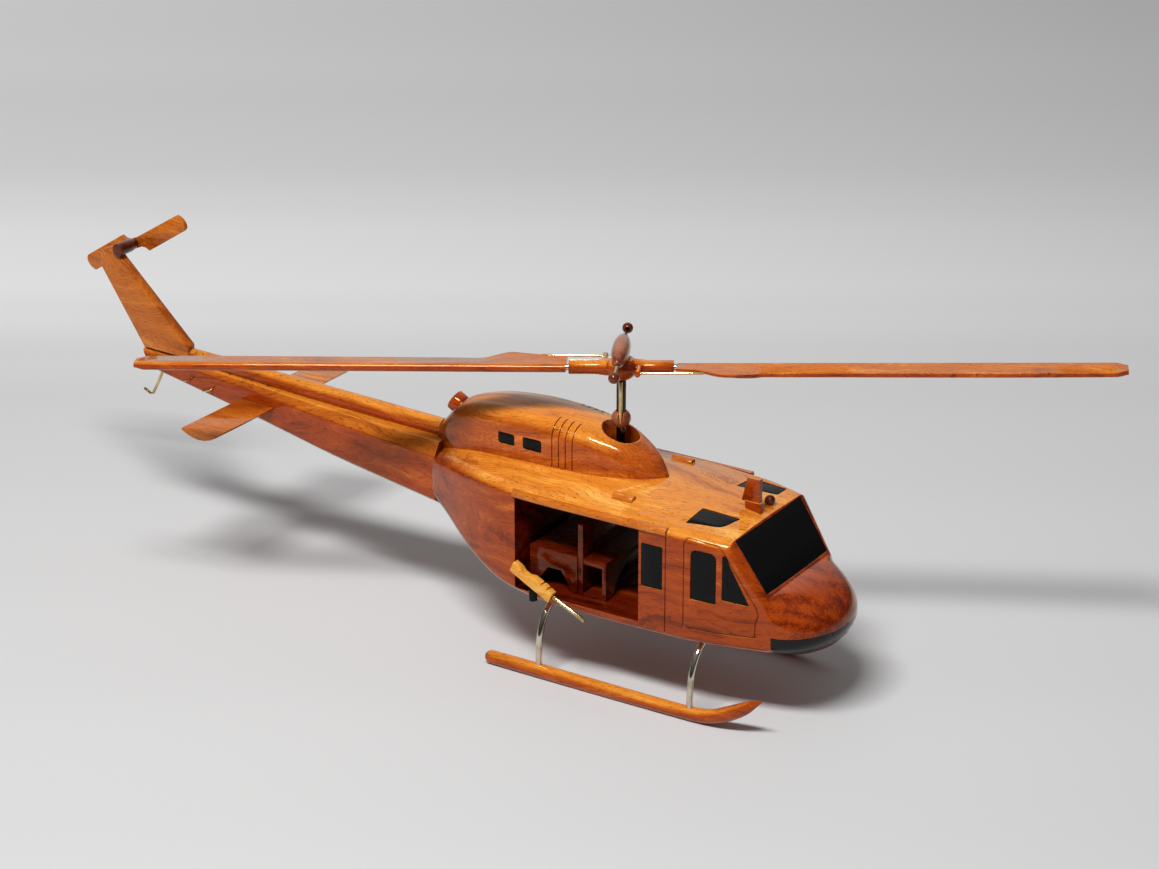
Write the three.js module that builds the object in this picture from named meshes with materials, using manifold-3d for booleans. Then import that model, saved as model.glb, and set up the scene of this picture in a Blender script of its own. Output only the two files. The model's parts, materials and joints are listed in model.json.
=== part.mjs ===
// Desk model of a utility helicopter, carved from mahogany with brass fittings.
// Millimetres. +X points forward, +Y to port, +Z up, and the skids stand on z = 0.
// Every length along X is counted from the main rotor mast; the group then moves the model so
// that its origin is at the middle of its length.
import * as THREE from "three";
import { mergeVertices } from "three/addons/utils/BufferGeometryUtils.js";
import Module from "manifold-3d";

const wasm = await Module();
wasm.setup();

// ---- driving dimensions ----
const ROTOR_RADIUS = 225.2;
const ROTOR_YAW = THREE.MathUtils.degToRad(26.2); // where the blades stand at rest
const ROTOR_TILT = THREE.MathUtils.degToRad(2.2); // the rotor sits a little out of level
const HUB_HEIGHT = 142.7;
const TAIL_ROTOR_RADIUS = 35.2;
const TAIL_ROTOR_ANGLE = THREE.MathUtils.degToRad(32.5);
const TAIL_ROTOR_X = -292.3;
const TAIL_ROTOR_HEIGHT = 146.8;

const GAP = 0.3; // between pieces that touch
const INLAY_GAP = 0.15; // round a window in its recess
const INLAY_DEPTH = 1.2;
const INLAY_THICKNESS = 0.9;

const HULL_REAR = -93;
const NOSE_START = 94; // where the hull begins to round off
const NOSE_TIP = 118.3;
const NOSE_TIP_HEIGHT = 45;
const WINDSHIELD_TOP = { x: 77, z: 87.5, halfWidth: 29.8 };
const WINDSHIELD_BOTTOM = { x: 94, z: 63, halfWidth: 28.4 };
const CHIN = { rear: 97, front: 116.6, top: 45 };

const CABIN = { rear: -33, front: 33.5, floor: 40.3, ceiling: 85 };
const SEAT_HALF_WIDTH = 30;
const SEAT_HEIGHT = 59.3;
const BACK_HEIGHT = 75.6;

const SKID_Y = 41.3;
const SKID_RADIUS = 3.2;
const SKID_REAR = -47;
const SKID_TIP = 99;
const SKID_CENTRE = 3; // the rod is flattened underneath, so it stands on a narrow flat
const TUBE_RADIUS = 1.5;
const CROSS_TUBES = { forward: 62.2, aft: -18.2 };
const CROSS_TUBE_HEIGHT = 35.2;

const MAST_RADIUS = 2.2;
const MAST_FOOT = 88;
const SWASHPLATE_HEIGHT = 118;
const PUSH_ROD_OFFSET = 3.5;
const GRIP_RADIUS = 3.2;
const GRIP_END = 23.8;
const BLADE_ROOT = 25.2;
const PIN_RADIUS = 1.5;
const BLADE_CONING = Math.tan(THREE.MathUtils.degToRad(0.2));
const LINK_RADIUS = 0.6;
const BAR_HALF_LENGTH = 32.6;
const BAR_HEIGHT = 7; // above the blades' axis

const STABILIZER = { front: -194, rear: -215.3, height: 84.7, tip: 52.9 };

const TAIL_ROTOR_Y = 10.7;
const TAIL_SHAFT_RADIUS = 3.3;
const TAIL_BLADE_HALF_THICKNESS = 1.1;
const WIRE_RADIUS = 0.75;
const HANDLE_RADIUS = 0.5;

const GUN = { x: -20.5, y: 42.5, z: 46.3, dip: THREE.MathUtils.degToRad(25) };

// ---- finishes ----
const finish = (color, roughness, metalness) =>
  new THREE.MeshStandardMaterial({ color, roughness, metalness });
const MAHOGANY = finish(0x9c4a1c, 0.25, 0);
const AMBER = finish(0xc06a22, 0.25, 0);
const ROSEWOOD = finish(0x4a1d12, 0.3, 0);
const PALE_WOOD = finish(0xc98a45, 0.45, 0);
const GLOSS_BLACK = finish(0x0c0d0e, 0.12, 0);
const BRASS = finish(0xb59a5a, 0.3, 1);
const NICKEL = finish(0xb9b29a, 0.25, 1);
const BRONZE = finish(0x2a211a, 0.35, 0.8);

// ---- solids ----
function solid(geometry) {
  const flat = geometry.index ? geometry.toNonIndexed() : geometry;
  const bare = new THREE.BufferGeometry();
  bare.setAttribute("position", flat.getAttribute("position").clone());
  const merged = mergeVertices(bare, 1e-4);
  return new wasm.Manifold(
    new wasm.Mesh({
      numProp: 3,
      vertProperties: merged.attributes.position.array,
      triVerts: new Uint32Array(merged.index.array),
    }),
  );
}

function geometryOf(body) {
  const { numProp, numVert, vertProperties, triVerts } = body.getMesh();
  const corners = new Float32Array(numVert * 3);
  for (let i = 0; i < numVert; i++) {
    corners.set(vertProperties.subarray(i * numProp, i * numProp + 3), i * 3);
  }
  const geometry = new THREE.BufferGeometry();
  geometry.setAttribute("position", new THREE.BufferAttribute(corners, 3));
  geometry.setIndex(new THREE.BufferAttribute(new Uint32Array(triVerts), 1));
  geometry.computeVertexNormals();
  return geometry;
}

const moved = (geometry, x, y, z) => geometry.clone().translate(x, y, z);
const cut = (body, ...tools) => tools.reduce((left, tool) => left.subtract(tool), body);
const join = (first, ...others) => others.reduce((all, other) => all.add(other), first);

function mesh(name, shape, material) {
  const made = new THREE.Mesh(shape.isBufferGeometry ? shape : geometryOf(shape), material);
  made.name = name;
  return made;
}

// A box between two corners.
function block([x0, x1], [y0, y1], [z0, z1]) {
  const box = new THREE.BoxGeometry(x1 - x0, y1 - y0, z1 - z0);
  return box.translate((x0 + x1) / 2, (y0 + y1) / 2, (z0 + z1) / 2);
}

// A cylinder between two points.
function dowel(from, to, radius, sides = 24, farRadius = radius) {
  const start = new THREE.Vector3(...from);
  const end = new THREE.Vector3(...to);
  const along = end.clone().sub(start);
  const rod = new THREE.CylinderGeometry(farRadius, radius, along.length(), sides);
  const turn = new THREE.Quaternion().setFromUnitVectors(
    new THREE.Vector3(0, 1, 0),
    along.clone().normalize(),
  );
  rod.applyQuaternion(turn);
  return rod.translate(...start.add(end).multiplyScalar(0.5));
}

// A rod bent along a smooth curve.
function bentRod(points, radius, steps, sides = 10, tension = 0.5) {
  const path = new THREE.CatmullRomCurve3(
    points.map((point) => new THREE.Vector3(...point)),
    false,
    "catmullrom",
    tension,
  );
  const section = new THREE.Shape().absarc(0, 0, radius, 0, 2 * Math.PI);
  return new THREE.ExtrudeGeometry(section, {
    extrudePath: path,
    steps,
    curveSegments: sides,
    bevelEnabled: false,
  });
}

// An outline in the XZ plane, as thick as the span from y0 to y1.
function sidePlate(shape, y0, y1, curveSegments = 8) {
  const plate = new THREE.ExtrudeGeometry(shape, {
    depth: y1 - y0,
    curveSegments,
    bevelEnabled: false,
  });
  return plate.rotateX(Math.PI / 2).translate(0, y1, 0);
}

// An outline in the XY plane, as thick as the span from z0 to z1.
function levelPlate(shape, z0, z1, curveSegments = 8) {
  const plate = new THREE.ExtrudeGeometry(shape, {
    depth: z1 - z0,
    curveSegments,
    bevelEnabled: false,
  });
  return plate.translate(0, 0, z0);
}

const polygon = (points) => new THREE.Shape(points.map(([x, y]) => new THREE.Vector2(x, y)));

// A polygon whose corners are rounded by the radius given with each point.
function roundedPolygon(points) {
  const shape = new THREE.Shape();
  points.forEach(([x, y, radius], i) => {
    const corner = new THREE.Vector2(x, y);
    const before = new THREE.Vector2(...points.at(i - 1));
    const after = new THREE.Vector2(...points[(i + 1) % points.length]);
    const into = corner.clone().add(before.sub(corner).setLength(radius));
    const out = corner.clone().add(after.sub(corner).setLength(radius));
    if (i === 0) shape.moveTo(into.x, into.y);
    else shape.lineTo(into.x, into.y);
    if (radius > 0) shape.quadraticCurveTo(x, y, out.x, out.y);
  });
  shape.closePath();
  return shape;
}

// A smooth function of x through the given [x, value] points, which run forwards.
function profile(points) {
  const slope = points.map((point, i) => {
    const before = points[Math.max(i - 1, 0)];
    const after = points[Math.min(i + 1, points.length - 1)];
    return (after[1] - before[1]) / (after[0] - before[0]);
  });
  return (x) => {
    const last = points.length - 2;
    const found = points.findIndex((point, i) => i <= last && x <= points[i + 1][0]);
    const i = found < 0 ? last : found;
    const [x0, v0] = points[i];
    const [x1, v1] = points[i + 1];
    const width = x1 - x0;
    const t = THREE.MathUtils.clamp((x - x0) / width, 0, 1);
    const s = 1 - t;
    return (
      v0 * (1 + 2 * t) * s * s +
      slope[i] * width * t * s * s +
      v1 * t * t * (3 - 2 * t) -
      slope[i + 1] * width * t * t * s
    );
  };
}

// A closed skin through sections that run round the X axis, one at each station x.
function loft(stations, sectionAt) {
  const rings = stations.map((x) => sectionAt(x).map(([y, z]) => [x, y, z]));
  const count = rings[0].length;
  const corners = rings.flat(2);
  const faces = [];
  rings.slice(1).forEach((_, i) => {
    for (let j = 0; j < count; j++) {
      const next = (j + 1) % count;
      const here = i * count;
      const there = here + count;
      faces.push(here + j, here + next, there + j);
      faces.push(here + next, there + next, there + j);
    }
  });
  [rings[0], rings.at(-1)].forEach((ring, end) => {
    const middle = corners.length / 3;
    const start = end * (rings.length - 1) * count;
    [0, 1, 2].forEach((k) => corners.push(ring.reduce((sum, p) => sum + p[k], 0) / count));
    for (let j = 0; j < count; j++) {
      const pair = [start + j, start + ((j + 1) % count)];
      faces.push(middle, ...(end ? pair : pair.reverse()));
    }
  });
  const skin = new THREE.BufferGeometry();
  skin.setAttribute("position", new THREE.Float32BufferAttribute(corners, 3));
  skin.setIndex(faces);
  return skin;
}

// A section with an arched top, upright sides and rounded corners.
function archedSection({ half, top, bottom, crown, topCorner, bottomCorner, keel = 0 }) {
  const [topY, topZ] = topCorner;
  const [bottomY, bottomZ] = bottomCorner;
  const side = [];
  const quarter = 5;
  for (let k = 0; k <= 2; k++) {
    const share = k / 2;
    side.push([share * (half - bottomY), bottom + keel * share ** 2]);
  }
  for (let k = 1; k <= quarter; k++) {
    const angle = (k / quarter) * (Math.PI / 2);
    side.push([
      half - bottomY * (1 - Math.sin(angle)),
      bottom + keel + bottomZ * (1 - Math.cos(angle)),
    ]);
  }
  const shoulder = top - crown;
  for (let k = 0; k <= quarter; k++) {
    const angle = (k / quarter) * (Math.PI / 2);
    side.push([half - topY * (1 - Math.cos(angle)), shoulder - topZ * (1 - Math.sin(angle))]);
  }
  const arch = 4;
  for (let k = arch - 1; k >= 0; k--) {
    const share = k / arch;
    side.push([share * (half - topY), top - crown * share ** 2]);
  }
  const mirrored = side.slice(1, -1).map(([y, z]) => [-y, z]);
  return [...side, ...mirrored.reverse()];
}

// ---- fuselage ----
const noseShare = (x) =>
  THREE.MathUtils.clamp((x - NOSE_START) / (NOSE_TIP - NOSE_START), 0, 1);
const rounding = (x, power) => Math.sqrt(1 - noseShare(x) ** power);
const roofLine = profile([
  [HULL_REAR, 88],
  [-80, 91.5],
  [-60, 94],
  [-30, 95],
  [0, 95.2],
  [25, 94.6],
  [50, 92],
  [WINDSHIELD_TOP.x, WINDSHIELD_TOP.z],
]);
const bellyLine = profile([
  [HULL_REAR, 57],
  [-83, 53.5],
  [-66, 44],
  [-52, 37.7],
  [-40, 33.8],
  [-20, 31],
  [10, 30],
  [60, 30.5],
  [NOSE_START, 31],
]);
const hullHalf = profile([
  [HULL_REAR, 18],
  [-83, 23],
  [-67, 30],
  [-52, 35],
  [-40, 37.6],
  [-25, 39],
  [0, 39.3],
  [45, 39],
  [60, 38.4],
  [WINDSHIELD_TOP.x, 35.4],
  [NOSE_START, 31.5],
]);
const roofCrown = profile([
  [HULL_REAR, 3],
  [-50, 4.5],
  [0, 5],
  [40, 3.5],
  [WINDSHIELD_TOP.x, 0.6],
  [NOSE_START, 0.6],
]);

function hullTop(x) {
  if (x <= WINDSHIELD_TOP.x) return roofLine(x);
  if (x > NOSE_START) {
    const rise = WINDSHIELD_BOTTOM.z - NOSE_TIP_HEIGHT;
    return NOSE_TIP_HEIGHT + rise * rounding(x, 1.6);
  }
  const share = (x - WINDSHIELD_TOP.x) / (WINDSHIELD_BOTTOM.x - WINDSHIELD_TOP.x);
  return THREE.MathUtils.lerp(WINDSHIELD_TOP.z, WINDSHIELD_BOTTOM.z, share);
}

function hullBottom(x) {
  if (x <= NOSE_START) return bellyLine(x);
  const drop = NOSE_TIP_HEIGHT - bellyLine(NOSE_START);
  return NOSE_TIP_HEIGHT - drop * rounding(x, 2.8);
}

// The hull is boxy amidships, softer towards the tail and round at the nose.
function hullSection(x) {
  const { lerp, smoothstep } = THREE.MathUtils;
  const half = hullHalf(Math.min(x, NOSE_START)) * rounding(x, 2.1);
  const top = hullTop(x);
  const bottom = hullBottom(x);
  const boxy = smoothstep(x, HULL_REAR, -50);
  const front = smoothstep(x, 70, NOSE_START);
  const nose = Math.sqrt(noseShare(x));
  const upper = (top - NOSE_TIP_HEIGHT) * 0.98;
  const lower = (NOSE_TIP_HEIGHT - bottom) * 0.98;
  return archedSection({
    half,
    top,
    bottom,
    crown: roofCrown(x) * (1 - nose),
    keel: 3 * (1 - nose),
    topCorner: [
      lerp(lerp(7, 4, front), half * 0.98, nose),
      lerp(lerp(lerp(9, 5, boxy), 8, front), upper, nose),
    ],
    bottomCorner: [lerp(lerp(9, 12, boxy), half * 0.98, nose), lerp(lerp(9, 6, boxy), lower, nose)],
  });
}

const HULL_STATIONS = [
  ...[HULL_REAR, -91, -84, -76, -67, -58, -48, -38, -25, -5, 20, 40, 52, 64, 71],
  WINDSHIELD_TOP.x,
  ...[82, 88],
  ...[0, 0.12, 0.26, 0.42, 0.57, 0.7, 0.81, 0.9, 0.96].map(
    (share) => NOSE_START + share * (NOSE_TIP - NOSE_START),
  ),
  NOSE_TIP - 0.15,
];
const hullSkin = loft(HULL_STATIONS, hullSection);

// A panel let into a skin: the recess to cut, and the panel that lies in it.
// `outline` and `inner` are through-prisms, and the skin sinks along `inwards`.
function inlay(skin, outline, inner, inwards) {
  const sunk = (depth) => solid(moved(skin, ...inwards.map((v) => v * depth)));
  const recess = solid(outline).subtract(sunk(INLAY_DEPTH));
  const floor = sunk(INLAY_GAP + INLAY_THICKNESS);
  const panel = solid(inner).intersect(sunk(INLAY_GAP)).subtract(floor);
  return { recess, panel };
}

// The same outline drawn twice, full size and shrunk by the gap round a panel.
function inlayPrisms(corners, extrude) {
  const middle = corners
    .reduce((sum, [x, y]) => sum.add(new THREE.Vector2(x, y)), new THREE.Vector2())
    .divideScalar(corners.length);
  const shrunk = corners.map(([x, y, radius]) => {
    const offset = new THREE.Vector2(x, y).sub(middle);
    offset.setLength(offset.length() - INLAY_GAP * 1.5);
    return [middle.x + offset.x, middle.y + offset.y, radius];
  });
  return [extrude(roundedPolygon(corners)), extrude(roundedPolygon(shrunk))];
}

const SIDES = { starboard: -1, port: 1 };

// Windows in the side of the hull: crew door, quarter pane and door post.
const SIDE_WINDOWS = {
  crew_window: [
    [59.7, 57.6, 0.8],
    [71.7, 56.8, 0.8],
    [71.7, 81, 3.5],
    [59.7, 81.8, 3.5],
  ],
  quarter_window: [
    [74.3, 59.5, 0.6],
    [86.9, 58.5, 0.6],
    [75.7, 80.9, 0.8],
    [74.3, 80.9, 0.5],
  ],
  post_window: [
    [34.8, 58.3, 0.8],
    [45.7, 58.3, 0.8],
    [45.7, 79.3, 0.8],
    [34.8, 79.3, 0.8],
  ],
};

function sideInlays(skin, side, sign, windows, yFrom, yTo) {
  return Object.entries(windows).map(([name, corners]) => {
    const span = sign > 0 ? [yFrom, yTo] : [-yTo, -yFrom];
    const prisms = inlayPrisms(corners, (shape) => sidePlate(shape, ...span, 3));
    return { name: `${side}_${name}`, ...inlay(skin, ...prisms, [0, -sign, 0]) };
  });
}

// The two roof windows were cut by eye: both slant the same way.
const ROOF_WINDOWS = {
  starboard: [
    [52, -30, 1],
    [52.2, -15, 1],
    [69.8, -11.5, 1],
    [67.3, -24.5, 4],
  ],
  port: [
    [52, 30, 1],
    [52.2, 15, 1],
    [69.8, 21.8, 1],
    [69.4, 31.6, 1],
  ],
};

function roofInlay(side) {
  const corners = ROOF_WINDOWS[side];
  const prisms = inlayPrisms(corners, (shape) => levelPlate(shape, 70, 110, 4));
  return { name: `${side}_roof_window`, ...inlay(hullSkin, ...prisms, [0, 0, -1]) };
}

function windshieldInlay() {
  const inset = 0.9; // of frame left above and below the pane
  const topHalf = WINDSHIELD_TOP.halfWidth;
  const bottomHalf = WINDSHIELD_BOTTOM.halfWidth;
  const corners = [
    [-topHalf, WINDSHIELD_TOP.z - inset, 0.8],
    [-bottomHalf, WINDSHIELD_BOTTOM.z + inset, 0.8],
    [bottomHalf, WINDSHIELD_BOTTOM.z + inset, 0.8],
    [topHalf, WINDSHIELD_TOP.z - inset, 0.8],
  ];
  // The outline is drawn in the YZ plane and runs forward along X.
  const facing = (shape) => {
    const prism = new THREE.ExtrudeGeometry(shape, {
      depth: 60,
      curveSegments: 3,
      bevelEnabled: false,
    });
    return prism.rotateX(Math.PI / 2).rotateZ(Math.PI / 2).translate(60, 0, 0);
  };
  const prisms = inlayPrisms(corners, facing);
  return { name: "windshield", ...inlay(hullSkin, ...prisms, [-1.3, 0, 0]) };
}

function crossTubePath(x) {
  const half = [
    [x, SKID_Y, SKID_CENTRE + 1],
    [x, SKID_Y, 13],
    [x, SKID_Y - 1.4, 22],
    [x, SKID_Y - 6, 30],
    [x, SKID_Y - 13, CROSS_TUBE_HEIGHT - 0.8],
    [x, SKID_Y - 19, CROSS_TUBE_HEIGHT],
  ];
  const other = half.map(([px, y, z]) => [px, -y, z]);
  return [...half, ...other.reverse()];
}

const crossTube = (x, radius) => bentRod(crossTubePath(x), radius, 26, 6);

function fuselageParts() {
  const inlays = [windshieldInlay()];
  for (const [side, sign] of Object.entries(SIDES)) {
    inlays.push(roofInlay(side, sign));
    inlays.push(...sideInlays(hullSkin, side, sign, SIDE_WINDOWS, 30, 60));
  }
  const cabin = block([CABIN.rear, CABIN.front], [-60, 60], [CABIN.floor, CABIN.ceiling]);
  const mastBore = dowel([0, 0, MAST_FOOT - GAP], [0, 0, 110], MAST_RADIUS + GAP, 16);
  const tunnels = Object.values(CROSS_TUBES).map((x) => crossTube(x, TUBE_RADIUS + GAP));
  const postSeats = Object.values(SIDES).map((sign) => gunPost(sign, GAP));
  const chinBlock = block([CHIN.rear, CHIN.front], [-60, 60], [0, CHIN.top]);
  const chinRoom = block([CHIN.rear - GAP, CHIN.front + GAP], [-60, 60], [0, CHIN.top + GAP]);
  const hull = cut(
    solid(hullSkin),
    solid(cabin),
    solid(mastBore),
    ...tunnels.map(solid),
    ...postSeats.map(solid),
    ...inlays.map((made) => made.recess),
    solid(chinRoom),
  );
  return [
    mesh("fuselage", hull, MAHOGANY),
    mesh("chin_panel", solid(hullSkin).intersect(solid(chinBlock)), GLOSS_BLACK),
    ...inlays.map(({ name, panel }) => mesh(name, panel, GLOSS_BLACK)),
  ];
}

// ---- door rails, roof pegs, wire cutter and beacon ----
const RAIL = { rear: -34, front: 47.5, bottom: 85.8, top: 88.7, proud: 1.1 };

function doorRail(sign) {
  const stations = [RAIL.rear, -15, 5, 26, RAIL.front];
  const section = (x) => {
    const outer = hullHalf(x) + RAIL.proud;
    const ring = [
      [outer - 5, RAIL.bottom],
      [outer, RAIL.bottom],
      [outer, RAIL.top - 1.2],
      [outer - 1, RAIL.top],
      [outer - 5, RAIL.top],
    ];
    return sign > 0 ? ring : ring.map(([y, z]) => [-y, z]).reverse();
  };
  const strip = solid(loft(stations, section));
  return cut(strip, solid(moved(hullSkin, 0, sign * GAP, GAP)));
}

function roofTrim() {
  const liftedRoof = solid(moved(hullSkin, 0, 0, GAP));
  const parts = [];
  for (const [side, sign] of Object.entries(SIDES)) {
    parts.push(mesh(`${side}_door_rail`, doorRail(sign), AMBER));
    const peg = solid(dowel([12.5, sign * 26, 91.9], [23, sign * 26, 91.5], 2.3, 16));
    parts.push(mesh(`${side}_roof_peg`, cut(peg, liftedRoof), AMBER));
  }
  const foot = solid(block([66, 74], [-1.6, 1.6], [80, 93]));
  const finOutline = polygon([
    [64, 0],
    [73.2, 0],
    [73.2, 11.5],
    [66.8, 11.5],
  ]);
  const fin = solid(moved(sidePlate(finOutline, -1.2, 1.2), 0, 0, 92.7));
  const beacon = solid(new THREE.SphereGeometry(2.5, 14, 10).translate(72, 10.6, 90.2));
  parts.push(mesh("wire_cutter", cut(join(foot, fin), liftedRoof), MAHOGANY));
  parts.push(mesh("beacon", cut(beacon, liftedRoof), ROSEWOOD));
  return parts;
}

// ---- engine cowling ----
const COWLING_BASE = 80;
const cowlingTop = profile([
  [-98, 95.5],
  [-92, 102.5],
  [-84, 110.5],
  [-70, 115.2],
  [-50, 117.4],
  [-33, 117.4],
  [-15, 115.8],
  [0, 112.5],
  [12, 107],
  [20, 101.5],
  [25.5, 94.5],
]);
const cowlingHalf = profile([
  [-98, 6],
  [-88, 10.5],
  [-75, 13.5],
  [-55, 16],
  [-25, 16.8],
  [-5, 15.5],
  [8, 12.5],
  [18, 8],
  [25.5, 1.5],
]);

function cowlingSection(x) {
  const half = cowlingHalf(x);
  const top = cowlingTop(x);
  return archedSection({
    half,
    top,
    bottom: COWLING_BASE,
    crown: half * 0.08,
    keel: 0,
    topCorner: [half * 0.5, Math.min(8, (top - COWLING_BASE) * 0.4)],
    bottomCorner: [0.1, 0.1],
  });
}

const COWLING_WINDOWS = {
  cowling_window_rear: [
    [-56.8, 99.2, 1.4],
    [-47.4, 99.2, 1.4],
    [-47.4, 104.9, 1.4],
    [-56.8, 104.9, 1.4],
  ],
  cowling_window_front: [
    [-42.8, 99.2, 1.4],
    [-32.4, 99.2, 1.4],
    [-32.4, 105.3, 1.4],
    [-42.8, 105.3, 1.4],
  ],
};
const LOUVRES = { first: -27, pitch: 3.6, count: 4, width: 0.7, depth: 0.6, top: 114 };
const EXHAUST = { x: -92, z: 108, radius: 5, tilt: THREE.MathUtils.degToRad(29) };

// A rod on the exhaust's axis, between two distances behind the middle of its mouth.
function exhaustRod(from, to, radius) {
  const at = (distance) => [
    EXHAUST.x - distance * Math.cos(EXHAUST.tilt),
    0,
    EXHAUST.z + distance * Math.sin(EXHAUST.tilt),
  ];
  return dowel(at(from), at(to), radius, 20);
}

function cowlingCore() {
  const stations = [-98, -95, -91, -85, -78, -68, -55, -40, -25, -10, 1, 9, 15, 19.5, 23, 25.5];
  return loft(stations, cowlingSection);
}

function cowlingParts() {
  const skin = cowlingCore();
  const inlays = Object.entries(SIDES).flatMap(([side, sign]) =>
    sideInlays(skin, side, sign, COWLING_WINDOWS, 8, 40),
  );
  const louvres = [];
  for (const sign of Object.values(SIDES)) {
    const sunk = solid(moved(skin, 0, -sign * LOUVRES.depth, -LOUVRES.depth / 2));
    for (let k = 0; k < LOUVRES.count; k++) {
      const x = LOUVRES.first + k * LOUVRES.pitch;
      const span = sign > 0 ? [11, 40] : [-40, -11];
      const slab = solid(block([x, x + LOUVRES.width], span, [COWLING_BASE, LOUVRES.top]));
      louvres.push(slab.subtract(sunk));
    }
  }
  const mastWell = dowel([0, 0, 60], [0, 0, 140], 8.8, 24);
  const body = cut(
    solid(skin),
    solid(moved(hullSkin, 0, 0, GAP)),
    solid(mastWell),
    solid(exhaustRod(-5 - GAP, 20, EXHAUST.radius + GAP)),
    ...louvres,
    ...inlays.map((made) => made.recess),
  );
  const pipe = solid(exhaustRod(-5, 0, EXHAUST.radius));
  return [
    mesh("engine_cowling", body, AMBER),
    mesh("exhaust_pipe", cut(pipe, solid(exhaustRod(-1.5, 5, EXHAUST.radius - 1.6))), MAHOGANY),
    ...inlays.map(({ name, panel }) => mesh(name, panel, GLOSS_BLACK)),
  ];
}

// ---- tail boom, fin, stabilizers and their wires ----
const BOOM = { rear: -281, front: HULL_REAR - GAP };
const boomBottom = profile([
  [BOOM.rear, 88.5],
  [-269, 86.3],
  [-225, 78.3],
  [-160, 66.5],
  [BOOM.front, 57],
]);
const boomDeck = profile([
  [BOOM.rear, 97],
  [-249, 95.5],
  [-217, 93.9],
  [-163, 91.4],
  [BOOM.front, 89.8],
]);
const boomHalf = profile([
  [BOOM.rear, 3.8],
  [-203, 7.2],
  [-150, 11.3],
  [BOOM.front, 15.5],
]);
const spineTop = profile([
  [-251, 101.9],
  [-165, 99],
  [BOOM.front - 5, 96.7],
]);
const spineRadius = profile([
  [-251, 3.6],
  [BOOM.front - 5, 5],
]);

// Upright sides, a bevelled upper edge and a flat deck.
function boomSection(x) {
  const half = boomHalf(x);
  const deck = boomDeck(x);
  const bottom = boomBottom(x);
  const height = deck - bottom;
  const side = [
    [0, bottom],
    [half * 0.7, bottom + height * 0.03],
    [half, bottom + height * 0.14],
    [half, deck - height * 0.2],
    [half * 0.74, deck],
    [0, deck],
  ];
  const mirrored = side.slice(1, -1).map(([y, z]) => [-y, z]);
  return [...side, ...mirrored.reverse()];
}

function roundSection(radius, height, y = 0, count = 12, stretch = 1) {
  const ring = [];
  for (let k = 0; k < count; k++) {
    const angle = (k / count) * 2 * Math.PI;
    ring.push([y + radius * Math.cos(angle), height + stretch * radius * Math.sin(angle)]);
  }
  return ring;
}

const FIN_HALF_THICKNESS = 2.8;
const FIN_BOTTOM = { rear: [-279.6, 97.3], front: [-250.8, 96.8] };

// The fin tapers upwards. The tail rotor's shaft lies in a notch in its upper front corner.
function finOutline() {
  const outline = new THREE.Shape();
  outline.moveTo(...FIN_BOTTOM.rear);
  outline.lineTo(...FIN_BOTTOM.front);
  outline.lineTo(-250.8, 103.6);
  outline.lineTo(-292.9, 143.4);
  outline.lineTo(TAIL_ROTOR_X, TAIL_ROTOR_HEIGHT);
  outline.lineTo(-295.6, 148.8);
  outline.lineTo(-302.6, 145.2);
  outline.quadraticCurveTo(-304.6, 144, -304.9, 141.6);
  outline.lineTo(-305.2, 136);
  return outline;
}

// A flat-topped tailplane with a rounded underside.
function stabilizerOutline() {
  const { front, rear, height } = STABILIZER;
  const outline = new THREE.Shape();
  outline.moveTo(rear, height);
  outline.lineTo(rear + 0.5, height - 0.9);
  outline.quadraticCurveTo((rear + front) / 2, height - 7, front - 0.5, height - 1.1);
  outline.lineTo(front, height);
  return outline;
}

const TAIL_HOOK = [
  [-268.6, 0, 90],
  [-273, 0, 80.8],
  [-278.2, 0, 71.4],
  [-283.2, 0, 74],
];

// A little wire handle on the starboard side of the boom, from one leg to the other.
function handlePath(xFrom, zFrom, xTo, zTo) {
  const root = -2.5;
  const out = -8;
  return [
    [xFrom, root, zFrom],
    [xFrom, out, zFrom],
    [xTo, out, zTo],
    [xTo, root, zTo],
  ];
}

// A wire bent sharply at each point of its route.
function kinkedWire(points, radius, sides = 8) {
  const path = new THREE.CurvePath();
  const corners = points.map((point) => new THREE.Vector3(...point));
  const bend = radius * 1.6;
  let from = corners[0];
  corners.slice(1, -1).forEach((corner, i) => {
    const before = corner.clone().add(corners[i].clone().sub(corner).setLength(bend));
    const after = corner.clone().add(corners[i + 2].clone().sub(corner).setLength(bend));
    path.add(new THREE.LineCurve3(from, before));
    path.add(new THREE.QuadraticBezierCurve3(before, corner, after));
    from = after;
  });
  path.add(new THREE.LineCurve3(from, corners.at(-1)));
  const section = new THREE.Shape().absarc(0, 0, radius, 0, 2 * Math.PI);
  return new THREE.ExtrudeGeometry(section, {
    extrudePath: path,
    steps: 4 * (corners.length - 1),
    curveSegments: sides / 2,
    bevelEnabled: false,
  });
}

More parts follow.
